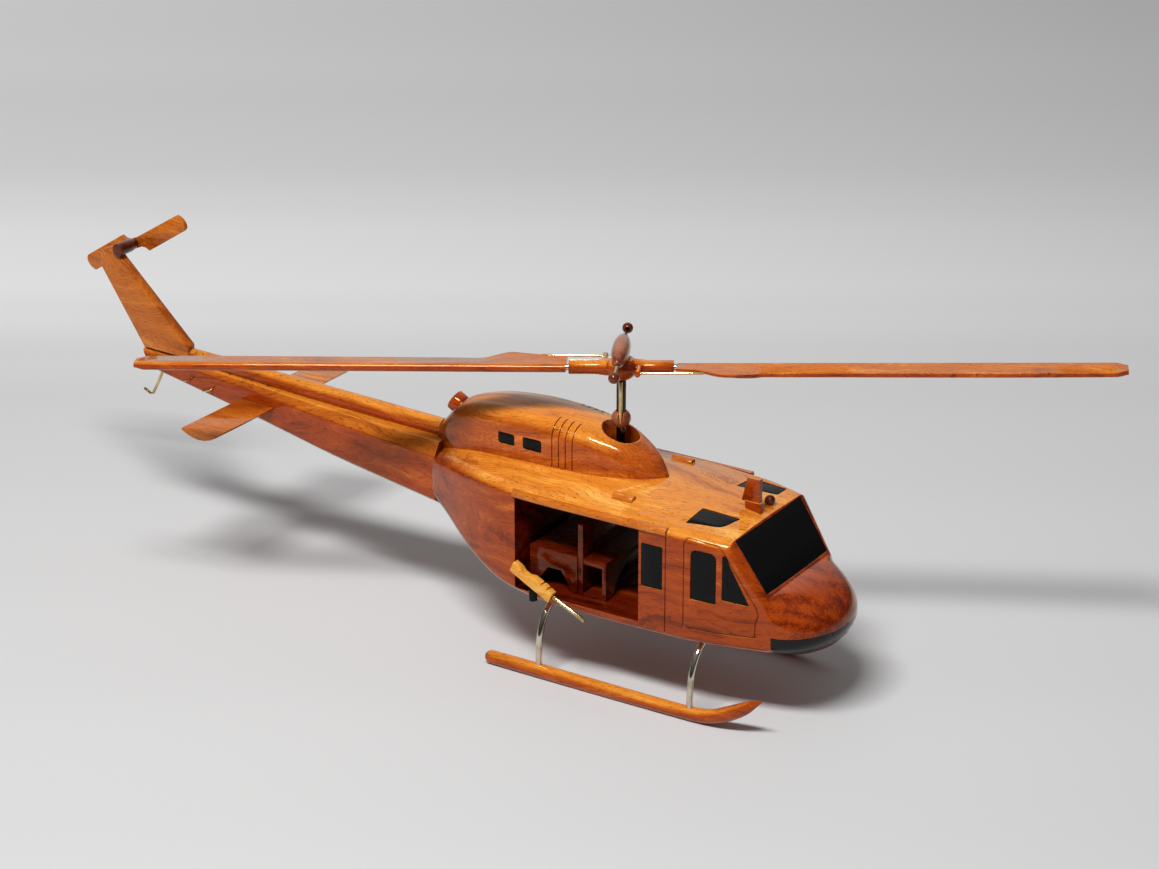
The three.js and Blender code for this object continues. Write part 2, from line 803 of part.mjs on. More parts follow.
function tailParts() {
  const stations = [];
  const count = 9;
  for (let k = 0; k <= count; k++) {
    stations.push(THREE.MathUtils.lerp(BOOM.rear, BOOM.front, k / count));
  }
  const boomSkin = loft(stations, boomSection);
  const spine = loft([-250, -220, -190, -160, -130, BOOM.front - 4.8], (x) =>
    roundSection(spineRadius(x), spineTop(x) - spineRadius(x)),
  );
  const slantedEnd = sidePlate(
    polygon([
      [-300, 80],
      [-269, 80],
      [-280.9, 98],
      [-300, 98],
    ]),
    -20,
    20,
  );
  const handles = {
    forward_tail_handle: handlePath(-238.8, 84, -233.6, 85.8),
    aft_tail_handle: handlePath(-250.9, 86.8, -248.4, 88),
  };
  const boom = cut(
    join(solid(boomSkin), solid(spine)),
    solid(slantedEnd),
    solid(moved(cowlingCore(), -GAP, 0, 0)),
    solid(kinkedWire(TAIL_HOOK, WIRE_RADIUS + GAP)),
    ...Object.values(handles).map((route) => solid(kinkedWire(route, HANDLE_RADIUS + 0.15))),
  );
  const fin = sidePlate(finOutline(), -FIN_HALF_THICKNESS, FIN_HALF_THICKNESS);
  const shaftBore = dowel(
    [TAIL_ROTOR_X, -10, TAIL_ROTOR_HEIGHT],
    [TAIL_ROTOR_X, 10, TAIL_ROTOR_HEIGHT],
    TAIL_SHAFT_RADIUS + GAP,
    20,
  );
  const parts = [
    mesh("tail_boom", boom, MAHOGANY),
    mesh("tail_fin", cut(solid(fin), solid(shaftBore)), AMBER),
    mesh("tail_skid", kinkedWire(TAIL_HOOK, WIRE_RADIUS), BRASS),
  ];
  for (const [name, route] of Object.entries(handles)) {
    parts.push(mesh(name, kinkedWire(route, HANDLE_RADIUS), BRASS));
  }
  for (const [side, sign] of Object.entries(SIDES)) {
    const span = sign > 0 ? [0, STABILIZER.tip] : [-STABILIZER.tip, 0];
    const plane = solid(sidePlate(stabilizerOutline(), ...span, 6));
    const root = solid(moved(boomSkin, 0, sign * GAP, 0));
    parts.push(mesh(`${side}_stabilizer`, cut(plane, solid(boomSkin), root), AMBER));
  }
  return parts;
}

// ---- cabin furniture ----
const BENCH = { rear: -30.3, front: -4.6 };
const BACK = { rear: -4.3, front: -1.5 };
const BOX_SEAT = { rear: -1.2, front: 10.8 };
const SEAT_FLOOR = CABIN.floor + GAP;
const SEAT_BOARD = 3;

function cabinParts() {
  const width = [-SEAT_HALF_WIDTH, SEAT_HALF_WIDTH];
  const bench = block([BENCH.rear, BENCH.front], width, [SEAT_FLOOR, SEAT_HEIGHT]);
  const middle = (BENCH.rear + BENCH.front) / 2;
  const archway = sidePlate(
    polygon([
      [middle - 9.5, 35],
      [middle + 9.5, 35],
      [middle + 9.5, SEAT_FLOOR + 1],
      [middle + 4, SEAT_FLOOR + 9.5],
      [middle - 3, SEAT_FLOOR + 9.5],
      [middle - 9.5, SEAT_FLOOR + 1],
    ]),
    -50,
    50,
  );
  const back = block([BACK.rear, BACK.front], width, [SEAT_FLOOR, BACK_HEIGHT]);
  const seat = block([BOX_SEAT.rear, BOX_SEAT.front], width, [SEAT_FLOOR, SEAT_HEIGHT]);
  const locker = block(
    [BOX_SEAT.rear - 1, BOX_SEAT.front - 2],
    [-50, 50],
    [SEAT_FLOOR + 1.5, SEAT_HEIGHT - SEAT_BOARD],
  );
  const kneeHole = dowel([5, 0, SEAT_FLOOR - 10], [20, 0, SEAT_FLOOR - 10], 26.5, 32);
  return [
    mesh("bench_seat", cut(solid(bench), solid(archway)), MAHOGANY),
    mesh("seat_back", solid(back), MAHOGANY),
    mesh("box_seat", cut(solid(seat), solid(locker), solid(kneeHole)), MAHOGANY),
  ];
}

// ---- door guns ----
const GUN_POST = { radius: 2, bottom: 38.6, top: 43.9 };

function gunPost(sign, margin = 0) {
  const y = sign * GUN.y;
  const { radius, bottom, top } = GUN_POST;
  return dowel([GUN.x, y, bottom - margin], [GUN.x, y, top + margin], radius + margin, 16);
}

function gunParts(side, sign) {
  const y = sign * GUN.y;
  const pin = dowel([GUN.x, y, GUN_POST.top - 1], [GUN.x, y, GUN.z + 1.2], 0.7, 12);
  const pinHole = dowel([GUN.x, y, GUN_POST.top], [GUN.x, y, GUN.z + 1.5], 0.7 + GAP, 12);
  const stockOutline = polygon([
    [-12.6, -0.4],
    [-4, -0.9],
    [11, -1.6],
    [11, 3.6],
    [8.2, 3.9],
    [8.2, 3.2],
    [7.4, 3.2],
    [7.4, 4],
    [4.6, 4.2],
    [4.6, 3.4],
    [3.8, 3.4],
    [3.8, 4.2],
    [-1, 4.3],
    [-3.5, 3],
    [-6.5, 3],
    [-8.5, 4.2],
    [-12.6, 4.6],
  ]);
  const place = new THREE.Matrix4()
    .makeTranslation(GUN.x, y, GUN.z)
    .multiply(new THREE.Matrix4().makeRotationY(GUN.dip));
  const stock = sidePlate(stockOutline, -1.8, 1.8).applyMatrix4(place);
  const socket = dowel([8, 0, 1.5], [12, 0, 1.5], 0.95 + 0.2, 12).applyMatrix4(place);
  const tube = solid(dowel([8.3, 0, 1.5], [30, 0, 1.5], 0.95, 12).applyMatrix4(place));
  const muzzle = solid(dowel([28, 0, 1.5], [32, 0, 1.5], 0.5, 10).applyMatrix4(place));
  return [
    mesh(`${side}_gun_post`, join(solid(gunPost(sign)), solid(pin)), GLOSS_BLACK),
    mesh(`${side}_gun_stock`, cut(solid(stock), solid(pinHole), solid(socket)), PALE_WOOD),
    mesh(`${side}_gun_barrel`, cut(tube, muzzle), BRASS),
  ];
}

// ---- landing gear ----
const skidTop = profile([
  [SKID_REAR, SKID_CENTRE + SKID_RADIUS - 1.2],
  [SKID_REAR + 2, SKID_CENTRE + SKID_RADIUS],
  [60, SKID_CENTRE + SKID_RADIUS],
  [72.5, 7.9],
  [82, 12.2],
  [91.5, 17],
  [SKID_TIP, 19.2],
]);
const skidUnder = profile([
  [SKID_REAR, SKID_CENTRE - SKID_RADIUS + 1.2],
  [SKID_REAR + 2, SKID_CENTRE - SKID_RADIUS],
  [62, SKID_CENTRE - SKID_RADIUS],
  [72.5, 0.9],
  [82, 4.4],
  [91.5, 10.4],
  [SKID_TIP, 18.4],
]);
const skidHalf = profile([
  [SKID_REAR, 2],
  [SKID_REAR + 2, SKID_RADIUS],
  [75, SKID_RADIUS],
  [88, SKID_RADIUS * 0.8],
  [SKID_TIP, 0.4],
]);

// A round bar whose front end turns up like the toe of a sledge runner. The port toe is a
// little shorter, as hand-cut runners are.
const PORT_TOE_SHARE = 0.96;
const toeAt = (x, sign) => (sign > 0 && x > 60 ? 60 + (x - 60) * PORT_TOE_SHARE : x);

function skidSection(at, y) {
  const x = y > 0 && at > 60 ? 60 + (at - 60) / PORT_TOE_SHARE : at;
  const middle = (skidTop(x) + skidUnder(x)) / 2;
  const height = (skidTop(x) - skidUnder(x)) / 2;
  return roundSection(skidHalf(x), middle, y, 14, height / skidHalf(x));
}

function landingGear() {
  const ground = solid(block([-100, 150], [-80, 80], [-20, 0]));
  const stations = [SKID_REAR, -46.2, -45, 60, 68, 74, 79, 84, 89, 94, SKID_TIP];
  const tubes = Object.entries(CROSS_TUBES).map(([place, x]) => ({
    place,
    tube: crossTube(x, TUBE_RADIUS),
    socket: solid(crossTube(x, TUBE_RADIUS + GAP)),
  }));
  const parts = tubes.map(({ place, tube }) => mesh(`${place}_cross_tube`, tube, NICKEL));
  for (const [side, sign] of Object.entries(SIDES)) {
    const places = stations.map((x) => toeAt(x, sign));
    const rod = solid(loft(places, (x) => skidSection(x, sign * SKID_Y)));
    const skid = cut(rod, ground, ...tubes.map(({ socket }) => socket));
    parts.push(mesh(`${side}_skid`, skid, MAHOGANY));
  }
  return parts;
}

// ---- main rotor ----
function mastParts() {
  const mast = dowel([0, 0, MAST_FOOT], [0, 0, HUB_HEIGHT + 0.5], MAST_RADIUS, 20);
  const ball = new THREE.SphereGeometry(4.6, 16, 12);
  const mastHole = dowel([0, 0, -9], [0, 0, 9], MAST_RADIUS + GAP, 20);
  const rodAt = [
    PUSH_ROD_OFFSET * Math.sin(ROTOR_YAW),
    -PUSH_ROD_OFFSET * Math.cos(ROTOR_YAW),
  ];
  const rodFoot = SWASHPLATE_HEIGHT - 1.5;
  const rodTop = HUB_HEIGHT - 5.8;
  const pushRod = dowel([...rodAt, rodFoot], [...rodAt, rodTop], 0.9, 12);
  const rodGroove = dowel([...rodAt, -1.5 - GAP], [...rodAt, 9], 0.9 + GAP, 12);
  const bored = geometryOf(cut(solid(ball), solid(mastHole), solid(rodGroove)));
  const swashplate = moved(bored, 0, 0, SWASHPLATE_HEIGHT);
  return [
    mesh("rotor_mast", mast, BRONZE),
    mesh("swashplate_ball", swashplate, ROSEWOOD),
    mesh("push_rod", pushRod, BRASS),
  ];
}

const LINK = { from: 7.4, to: 38, y: -11.2, z: 1.2 };

// The hub: a turned boss with a round grip on each side, over the top of the mast.
function yoke() {
  const bossProfile = [
    [0, -5.2],
    [3.8, -5.2],
    [5.4, -4.4],
    [7.2, -2],
    [7.8, 0.6],
    [7, 2.8],
    [5.5, 4],
    [0, 4],
  ].map(([x, y]) => new THREE.Vector2(x, y));
  const boss = new THREE.LatheGeometry(bossProfile, 28).rotateX(Math.PI / 2);
  const grips = dowel([-GRIP_END, 0, 0], [GRIP_END, 0, 0], GRIP_RADIUS, 20);
  const flare = [-1, 1].map((end) =>
    dowel([end * 4, 0, 0], [end * 12, 0, 0], 4.2, 20, GRIP_RADIUS),
  );
  const mastHole = dowel([0, 0, -12], [0, 0, 1.5], MAST_RADIUS + 0.75, 20);
  const pinHoles = [-1, 1].map((end) =>
    dowel([end * 18, 0, 0], [end * 30, 0, 0], PIN_RADIUS + GAP, 12),
  );
  const horns = [-1, 1].map((end) =>
    dowel([end * 8.4, 0, 0.4], [end * 8.4, end * -12.8, LINK.z], 1.4, 12),
  );
  const linkHoles = [-1, 1].map((end) => {
    const y = end * LINK.y;
    return dowel([end * 6.5, y, LINK.z], [end * 14, y, LINK.z], LINK_RADIUS + 0.2, 10);
  });
  return cut(
    join(solid(boss), solid(grips), ...flare.map(solid), ...horns.map(solid)),
    solid(mastHole),
    ...pinHoles.map(solid),
    ...linkHoles.map(solid),
  );
}

// A leaf-shaped cap on the hub that the stabilizer bar runs through.
function saddle() {
  const leaf = new THREE.SphereGeometry(1, 16, 12).scale(4.4, 18, 5.2);
  leaf.translate(0, 0, BAR_HEIGHT + 0.9);
  const seat = block([-10, 10], [-30, 30], [-20, 4 + GAP]);
  const barHole = dowel([0, -40, BAR_HEIGHT], [0, 40, BAR_HEIGHT], 0.8 + GAP, 12);
  return cut(solid(leaf), solid(seat), solid(barHole));
}

// Each blade is a round rod along the leading edge with a flat board behind it. The board
// bulges near the root, where it also stands up a little.
const BLADE_ROD = { radius: 2, y: 0.5, z: -0.3 };
const boardWidth = profile([
  [BLADE_ROOT, 8.9],
  [35, 10.3],
  [45, 14.1],
  [52, 15.2],
  [58, 13.6],
  [64, 10.8],
  [72, 10.4],
  [219, 10.4],
  [ROTOR_RADIUS, 7.2],
]);
const boardUnderside = profile([
  [BLADE_ROOT, 0.9],
  [35, 0.8],
  [45, 0.1],
  [52, 0.1],
  [63, -1.2],
  [85, -1.4],
  [ROTOR_RADIUS, -1.4],
]);
const boardThickness = profile([
  [BLADE_ROOT, 1.6],
  [50, 1.7],
  [80, 2.2],
  [ROTOR_RADIUS, 2.2],
]);

function bladeSection(r) {
  const { radius, y, z } = BLADE_ROD;
  const rise = (r - BLADE_ROOT) * BLADE_CONING;
  const tip = THREE.MathUtils.smoothstep(r, ROTOR_RADIUS - 5, ROTOR_RADIUS);
  const edge = y - boardWidth(r);
  const under = boardUnderside(r);
  const ring = [[edge, under + rise]];
  const steps = 8;
  for (let k = 0; k <= steps; k++) {
    const angle = THREE.MathUtils.degToRad(-105 + (210 * k) / steps);
    ring.push([
      y - tip * 1.5 + radius * Math.cos(angle),
      z + rise + radius * (1 - tip * 0.3) * Math.sin(angle),
    ]);
  }
  ring.push([edge, under + boardThickness(r) + rise]);
  return ring;
}

function blade() {
  const bulge = [BLADE_ROOT, 30, 35, 40, 45, 49, 53, 57, 61, 65, 72];
  const body = solid(loft([...bulge, 215, 219, 222, ROTOR_RADIUS], bladeSection));
  const pinHole = dowel([20, 0, 0], [31, 0, 0], PIN_RADIUS + GAP, 12);
  return geometryOf(cut(body, solid(pinHole)));
}

function rotorHead() {
  const head = new THREE.Group();
  head.position.z = HUB_HEIGHT;
  head.rotation.set(0, -ROTOR_TILT, ROTOR_YAW, "ZYX");
  head.add(mesh("rotor_yoke", yoke(), MAHOGANY));
  head.add(mesh("rotor_saddle", saddle(), ROSEWOOD));
  const bar = dowel([0, -BAR_HALF_LENGTH, BAR_HEIGHT], [0, BAR_HALF_LENGTH, BAR_HEIGHT], 0.8, 12);
  head.add(mesh("stabilizer_bar", bar, BRASS));
  const halves = { forward: 0, aft: Math.PI };
  for (const [half, turn] of Object.entries(halves)) {
    const arm = new THREE.Group();
    arm.rotation.z = turn;
    const ball = cut(
      solid(new THREE.SphereGeometry(2.6, 14, 10).translate(0, BAR_HALF_LENGTH, BAR_HEIGHT)),
      solid(dowel([0, 20, BAR_HEIGHT], [0, BAR_HALF_LENGTH + GAP, BAR_HEIGHT], 0.8 + GAP, 12)),
    );
    arm.add(mesh(`${half}_bar_weight`, ball, ROSEWOOD));
    arm.add(mesh(`${half}_blade`, blade(), MAHOGANY));
    const pin = dowel([18 + GAP, 0, 0], [31 - GAP, 0, 0], PIN_RADIUS, 12);
    arm.add(mesh(`${half}_blade_pin`, pin, NICKEL));
    const linkEnds = [
      [LINK.from, LINK.y, LINK.z],
      [LINK.to, LINK.y - 0.3, LINK.z + 0.2],
    ];
    const link = dowel(...linkEnds, LINK_RADIUS, 10);
    arm.add(mesh(`${half}_drag_link`, link, BRASS));
    head.add(arm);
  }
  return head;
}

// ---- tail rotor ----
function tailShaft() {
  const half = [
    [0, -4.3],
    [TAIL_SHAFT_RADIUS - 0.3, -4.3],
    [TAIL_SHAFT_RADIUS, -4],
    [TAIL_SHAFT_RADIUS, 4.6],
    [2.4, 8.4],
    [2.4, TAIL_ROTOR_Y - TAIL_BLADE_HALF_THICKNESS - GAP],
    [1, TAIL_ROTOR_Y - TAIL_BLADE_HALF_THICKNESS - GAP],
    [1, TAIL_ROTOR_Y + TAIL_BLADE_HALF_THICKNESS + 0.3],
    [0, TAIL_ROTOR_Y + TAIL_BLADE_HALF_THICKNESS + 0.3],
  ].map(([radius, y]) => new THREE.Vector2(radius, y));
  return new THREE.LatheGeometry(half, 20);
}

// One blade's edge, from the root on one side to the root on the other.
function tailBladeEdge(outline, turn) {
  const go = (x, z) => [turn * x, turn * z];
  const tip = TAIL_ROTOR_RADIUS;
  outline.lineTo(...go(3, -3.2));
  outline.lineTo(...go(5, -4.6));
  outline.lineTo(...go(6.4, -6.9));
  outline.lineTo(...go(tip - 2.6, -7.2));
  outline.quadraticCurveTo(...go(tip - 0.2, -7), ...go(tip + 0.2, -4.6));
  outline.quadraticCurveTo(...go(tip + 0.7, -1.6), ...go(tip - 1.9, 1.4));
  outline.lineTo(...go(3, 2.2));
}

function tailRotor() {
  const group = new THREE.Group();
  group.position.set(TAIL_ROTOR_X, 0, TAIL_ROTOR_HEIGHT);
  const outline = new THREE.Shape();
  outline.moveTo(-3, -2.2);
  tailBladeEdge(outline, 1);
  tailBladeEdge(outline, -1);
  const from = TAIL_ROTOR_Y - TAIL_BLADE_HALF_THICKNESS;
  const to = TAIL_ROTOR_Y + TAIL_BLADE_HALF_THICKNESS;
  const plate = solid(sidePlate(outline, from, to, 6));
  const bore = dowel([0, 0, 0], [0, 20, 0], 1 + GAP, 14);
  const blades = mesh("tail_rotor_blades", cut(plate, solid(bore)), AMBER);
  blades.rotation.y = -TAIL_ROTOR_ANGLE;
  group.add(mesh("tail_rotor_shaft", tailShaft(), ROSEWOOD), blades);
  return group;
}

// ---- assembly ----
const helicopter = new THREE.Group();
helicopter.name = "helicopter";
helicopter.add(
  ...fuselageParts(),
  ...roofTrim(),
  ...cowlingParts(),
  ...tailParts(),
  ...cabinParts(),
  ...Object.entries(SIDES).flatMap(([side, sign]) => gunParts(side, sign)),
  ...landingGear(),
  ...mastParts(),
  rotorHead(),
  tailRotor(),
);

// The middle of the whole length, blade tip to blade tip, goes to x = 0.
const extent = new THREE.Box3().setFromObject(helicopter, true);
helicopter.position.x = -(extent.min.x + extent.max.x) / 2;

export default helicopter;
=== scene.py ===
"""Looks for the carved wooden helicopter.

Sizes are in millimetres and lengths along X are counted from the rotor mast, as in the CAD.
"""

import json
import math

import bpy
from mathutils import Matrix, Vector


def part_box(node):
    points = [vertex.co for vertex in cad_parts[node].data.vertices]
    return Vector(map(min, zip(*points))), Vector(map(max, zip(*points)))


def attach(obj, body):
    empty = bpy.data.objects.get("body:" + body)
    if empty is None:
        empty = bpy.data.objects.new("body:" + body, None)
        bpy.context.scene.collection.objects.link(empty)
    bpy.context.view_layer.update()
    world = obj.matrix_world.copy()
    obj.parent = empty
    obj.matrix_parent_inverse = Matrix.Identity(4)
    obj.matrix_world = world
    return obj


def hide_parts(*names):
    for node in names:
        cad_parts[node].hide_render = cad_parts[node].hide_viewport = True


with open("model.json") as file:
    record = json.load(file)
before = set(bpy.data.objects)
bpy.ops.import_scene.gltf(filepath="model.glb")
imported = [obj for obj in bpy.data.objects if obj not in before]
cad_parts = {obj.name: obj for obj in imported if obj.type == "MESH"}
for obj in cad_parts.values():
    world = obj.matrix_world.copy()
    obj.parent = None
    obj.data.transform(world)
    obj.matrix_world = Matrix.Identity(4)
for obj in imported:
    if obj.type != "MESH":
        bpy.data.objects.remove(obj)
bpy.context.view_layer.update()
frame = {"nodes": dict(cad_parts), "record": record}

MM = 0.001
mast_low, mast_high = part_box("rotor_mast")
SHIFT = (mast_low.x + mast_high.x) / 2
SIDES = {"starboard": -1, "port": 1}

# ---- camera ----
CAMERA_AT = (662.65, -1078.06, 620.92)
CAMERA_LOOKS = Vector((-0.49730, 0.78260, -0.37447))


def place(x, y, z):
    return (x * MM + SHIFT, y * MM, z * MM)


camera = bpy.data.objects.new("camera", bpy.data.cameras.new("camera"))
bpy.context.scene.collection.objects.link(camera)
camera.location = place(*CAMERA_AT)
camera.rotation_euler = CAMERA_LOOKS.to_track_quat("-Z", "Y").to_euler()
camera.data.sensor_width = 36
camera.data.lens = 93.18
camera.data.clip_start = 0.01
bpy.context.scene.camera = camera
bpy.context.scene.view_settings.view_transform = "Standard"


# ---- number helpers ----
def lerp(a, b, t):
    return a + (b - a) * t


def smoothstep(x, a, b):
    t = min(max((x - a) / (b - a), 0), 1)
    return t * t * (3 - 2 * t)


def spread(a, b, count):
    return [lerp(a, b, k / (count - 1)) for k in range(count)]


def profile(points):
    """A smooth function of x through the given (x, value) points."""
    ends = len(points) - 1
    slope = []
    for i in range(len(points)):
        before, after = points[max(i - 1, 0)], points[min(i + 1, ends)]
        slope.append((after[1] - before[1]) / (after[0] - before[0]))

    def value(x):
        i = next((k for k in range(ends) if x <= points[k + 1][0]), ends - 1)
        (x0, v0), (x1, v1) = points[i], points[i + 1]
        width = x1 - x0
        t = min(max((x - x0) / width, 0), 1)
        s = 1 - t
        held = v0 * (1 + 2 * t) * s * s + v1 * t * t * (3 - 2 * t)
        return held + slope[i] * width * t * s * s - slope[i + 1] * width * t * t * s

    return value


# ---- mesh helpers ----
def make(name, points, faces):
    mesh = bpy.data.meshes.new(name)
    mesh.from_pydata([place(*p) for p in points], [], faces)
    mesh.update()
    obj = bpy.data.objects.new(name, mesh)
    bpy.context.scene.collection.objects.link(obj)
    return obj


def loft(name, stations, section):
    """A closed skin through the sections at the stations, in order of x."""
    rings = [[(x, y, z) for y, z in section(x)] for x in stations]
    return skin(name, rings)


def skin(name, rings):
    count = len(rings[0])
    points = [p for ring in rings for p in ring]
    faces = []
    for i in range(len(rings) - 1):
        for j in range(count):
            k = (j + 1) % count
            here, there = i * count, (i + 1) * count
            faces.append((here + j, here + k, there + k, there + j))
    faces.append(tuple(range(count - 1, -1, -1)))
    faces.append(tuple((len(rings) - 1) * count + j for j in range(count)))
    return make(name, points, faces)


def prisms(name, outlines, axis, low, high):
    """Upright prisms on outlines: along Y an outline is (x, z), along Z it is (x, y)."""
    points, faces = [], []
    for outline in outlines:
        start, count = len(points), len(outline)
        for level in (low, high):
            for u, v in outline:
                point = {"x": (level, u, v), "y": (u, level, v), "z": (u, v, level)}[axis]
                points.append(point)
        sides = [(start + j, start + (j + 1) % count) for j in range(count)]
        new = [(a, b, b + count, a + count) for a, b in sides]
        new.append(tuple(start + j for j in reversed(range(count))))
        new.append(tuple(start + count + j for j in range(count)))
        area = sum(
            outline[j][0] * outline[(j + 1) % count][1]
            - outline[(j + 1) % count][0] * outline[j][1]
            for j in range(count)
        )
        flip = (area > 0) == (axis == "y")
        faces += [tuple(reversed(f)) for f in new] if flip else new
    return make(name, points, faces)


def box(name, xs, ys, zs):
    outline = [(xs[0], ys[0]), (xs[1], ys[0]), (xs[1], ys[1]), (xs[0], ys[1])]
    return prisms(name, [outline], "z", *zs)


def rounded(corners, steps=5):
    """A polygon with its corners rounded by the third number of each."""
    outline = []
    count = len(corners)
    for i, (x, y, radius) in enumerate(corners):
        corner = Vector((x, y))
        into = corner + (Vector(corners[i - 1][:2]) - corner).normalized() * radius
        out = corner + (Vector(corners[(i + 1) % count][:2]) - corner).normalized() * radius
        for k in range(steps + 1):
            t = k / steps
            outline.append(tuple(into.lerp(corner, t).lerp(corner.lerp(out, t), t)))
    return outline


def ribbon(points, width):
    """The outline of a line of that width through points of a plane."""
    path = [Vector(p) for p in points]
    left, right = [], []
    for i, point in enumerate(path):
        into = (point - path[i - 1]).normalized() if i else None
        out = (path[i + 1] - point).normalized() if i + 1 < len(path) else None
        along = ((into or out) + (out or into)).normalized()
        normal = Vector((-along.y, along.x))
        reach = width / 2 / max(normal.dot(Vector((-(out or into).y, (out or into).x))), 0.5)
        left.append(tuple(point + normal * reach))
        right.append(tuple(point - normal * reach))
    return left + right[::-1]


def frames(path):
    """A pair of directions across the path at each of its points, turning as little as it can."""
    tangents = []
    for i in range(len(path)):
        before, after = path[max(i - 1, 0)], path[min(i + 1, len(path) - 1)]
        tangents.append((after - before).normalized())
    side = tangents[0].orthogonal().normalized()
    pairs = []
    for tangent in tangents:
        side = (side - tangent * side.dot(tangent)).normalized()
        pairs.append((side, tangent.cross(side)))
    return pairs


def tube(name, path, radius, sides):
    """A round rod along a path."""
    path = [Vector(p) for p in path]
    turns = [2 * math.pi * k / sides for k in range(sides)]
    rings = []
    for point, (u, v) in zip(path, frames(path)):
        rings.append([tuple(point + (u * math.cos(a) + v * math.sin(a)) * radius)
                      for a in turns])
    return skin(name, rings)


def dowel(name, start, end, radius, sides=32):
    """A straight rod."""
    return tube(name, [start, end], radius, sides)


def smooth_path(points, steps):
    """A Catmull-Rom curve through the points."""
    points = [Vector(p) for p in points]
    path = []
    for i in range(len(points) - 1):
        p1, p2 = points[i], points[i + 1]
        p0 = points[i - 1] if i else p1 * 2 - p2
        p3 = points[i + 2] if i + 2 < len(points) else p2 * 2 - p1
        for k in range(steps):
            t = k / steps
            a = p1 * 2 + (p2 - p0) * t
            b = (p0 * 2 - p1 * 5 + p2 * 4 - p3) * t**2
            c = (p1 * 3 - p0 - p2 * 3 + p3) * t**3
            path.append((a + b + c) / 2)
    path.append(points[-1])
    return path


def bake(obj):
    """Turns the modifiers of an object into its mesh."""
    graph = bpy.context.evaluated_depsgraph_get()
    mesh = bpy.data.meshes.new_from_object(obj.evaluated_get(graph))
    obj.modifiers.clear()
    obj.data = mesh
    return obj


def combine(obj, tool, operation="DIFFERENCE"):
    """Cuts or joins one closed mesh with another, which is used up."""
    modifier = obj.modifiers.new("combine", "BOOLEAN")
    modifier.operation = operation
    modifier.object = tool
    modifier.solver = "MANIFOLD"
    bake(obj)
    bpy.data.objects.remove(tool)
    return obj


def copy_of(obj, offset=(0, 0, 0)):
    twin = bpy.data.objects.new(obj.name + "_copy", obj.data.copy())
    bpy.context.scene.collection.objects.link(twin)
    twin.data.transform(Matrix.Translation(Vector(offset) * MM))
    return twin


def weld(obj, distance=1e-6):
    modifier = obj.modifiers.new("weld", "WELD")
    modifier.merge_threshold = distance
    return bake(obj)


def shade(obj, angle=32):
    obj.data.shade_smooth()
    obj.data.set_sharp_from_angle(angle=math.radians(angle))
    return obj


def soften(obj, width, angle=35):
    """Rounds the sharp edges."""
    modifier = obj.modifiers.new("soften", "BEVEL")
    modifier.width = width * MM
    modifier.segments = 2
    modifier.limit_method = "ANGLE"
    modifier.angle_limit = math.radians(angle)
    bake(obj)
    return shade(obj)


def body_of(node):
    for body, members in frame["record"]["behaviour"]["bodies"].items():
        if node in members:
            return body
    raise KeyError(node)


SLOT_OF = {s["node"]: s["material_slot"] for s in frame["record"]["subparts"]}


def finish_piece(obj, material, node):
    """Gives a piece its material and its body, and hides what it stands for."""
    obj.data.materials.clear()
    obj.data.materials.append(material)
    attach(obj, body_of(node))
    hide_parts(node)


def refined(node, material, width):
    """A copy of a CAD node with softened edges and smooth shading."""
    source = frame["nodes"][node]
    piece = bpy.data.objects.new(node + "_looks", source.data.copy())
    bpy.context.scene.collection.objects.link(piece)
    weld(piece, 2e-6)
    soften(piece, width)
    finish_piece(piece, material, node)


# ---- materials ----
class Nodes:
    """A short way to write a material's nodes."""

    def __init__(self, name):
        self.material = bpy.data.materials.new(name)
        self.material.use_nodes = True
        self.tree = self.material.node_tree
        self.shader = self.tree.nodes["Principled BSDF"]

    def add(self, kind, settings=None, **inputs):
        node = self.tree.nodes.new("ShaderNode" + kind)
        for key, value in (settings or {}).items():
            setattr(node, key, value)
        for key, value in inputs.items():
            self.feed(node.inputs[key.replace("_", " ")], value)
        return node

    def feed(self, socket, value):
        if hasattr(value, "is_output"):
            self.tree.links.new(value, socket)
        else:
            socket.default_value = value

    def math(self, operation, *values):
        node = self.tree.nodes.new("ShaderNodeMath")
        node.operation = operation
        for socket, value in zip(node.inputs, values):
            self.feed(socket, value)
        return node.outputs[0]

    def mix(self, factor, a, b):
        node = self.tree.nodes.new("ShaderNodeMix")
        node.data_type = "RGBA"
        # a Mix node's first socket is its factor, and its colours are the seventh and eighth
        self.feed(node.inputs[0], factor)
        self.feed(node.inputs[6], a)
        self.feed(node.inputs[7], b)
        return node.outputs[2]

    def ramp(self, factor, stops):
        node = self.tree.nodes.new("ShaderNodeValToRGB")
        node.color_ramp.interpolation = "EASE"
        elements = node.color_ramp.elements
        while len(elements) < len(stops):
            elements.new(0.5)
        for element, (position, colour) in zip(elements, stops):
            element.position = position
            element.color = colour if len(colour) == 4 else (*colour, 1)
        self.feed(node.inputs[0], factor)
        return node.outputs[0]


def grey(v):
    return (v, v, v)


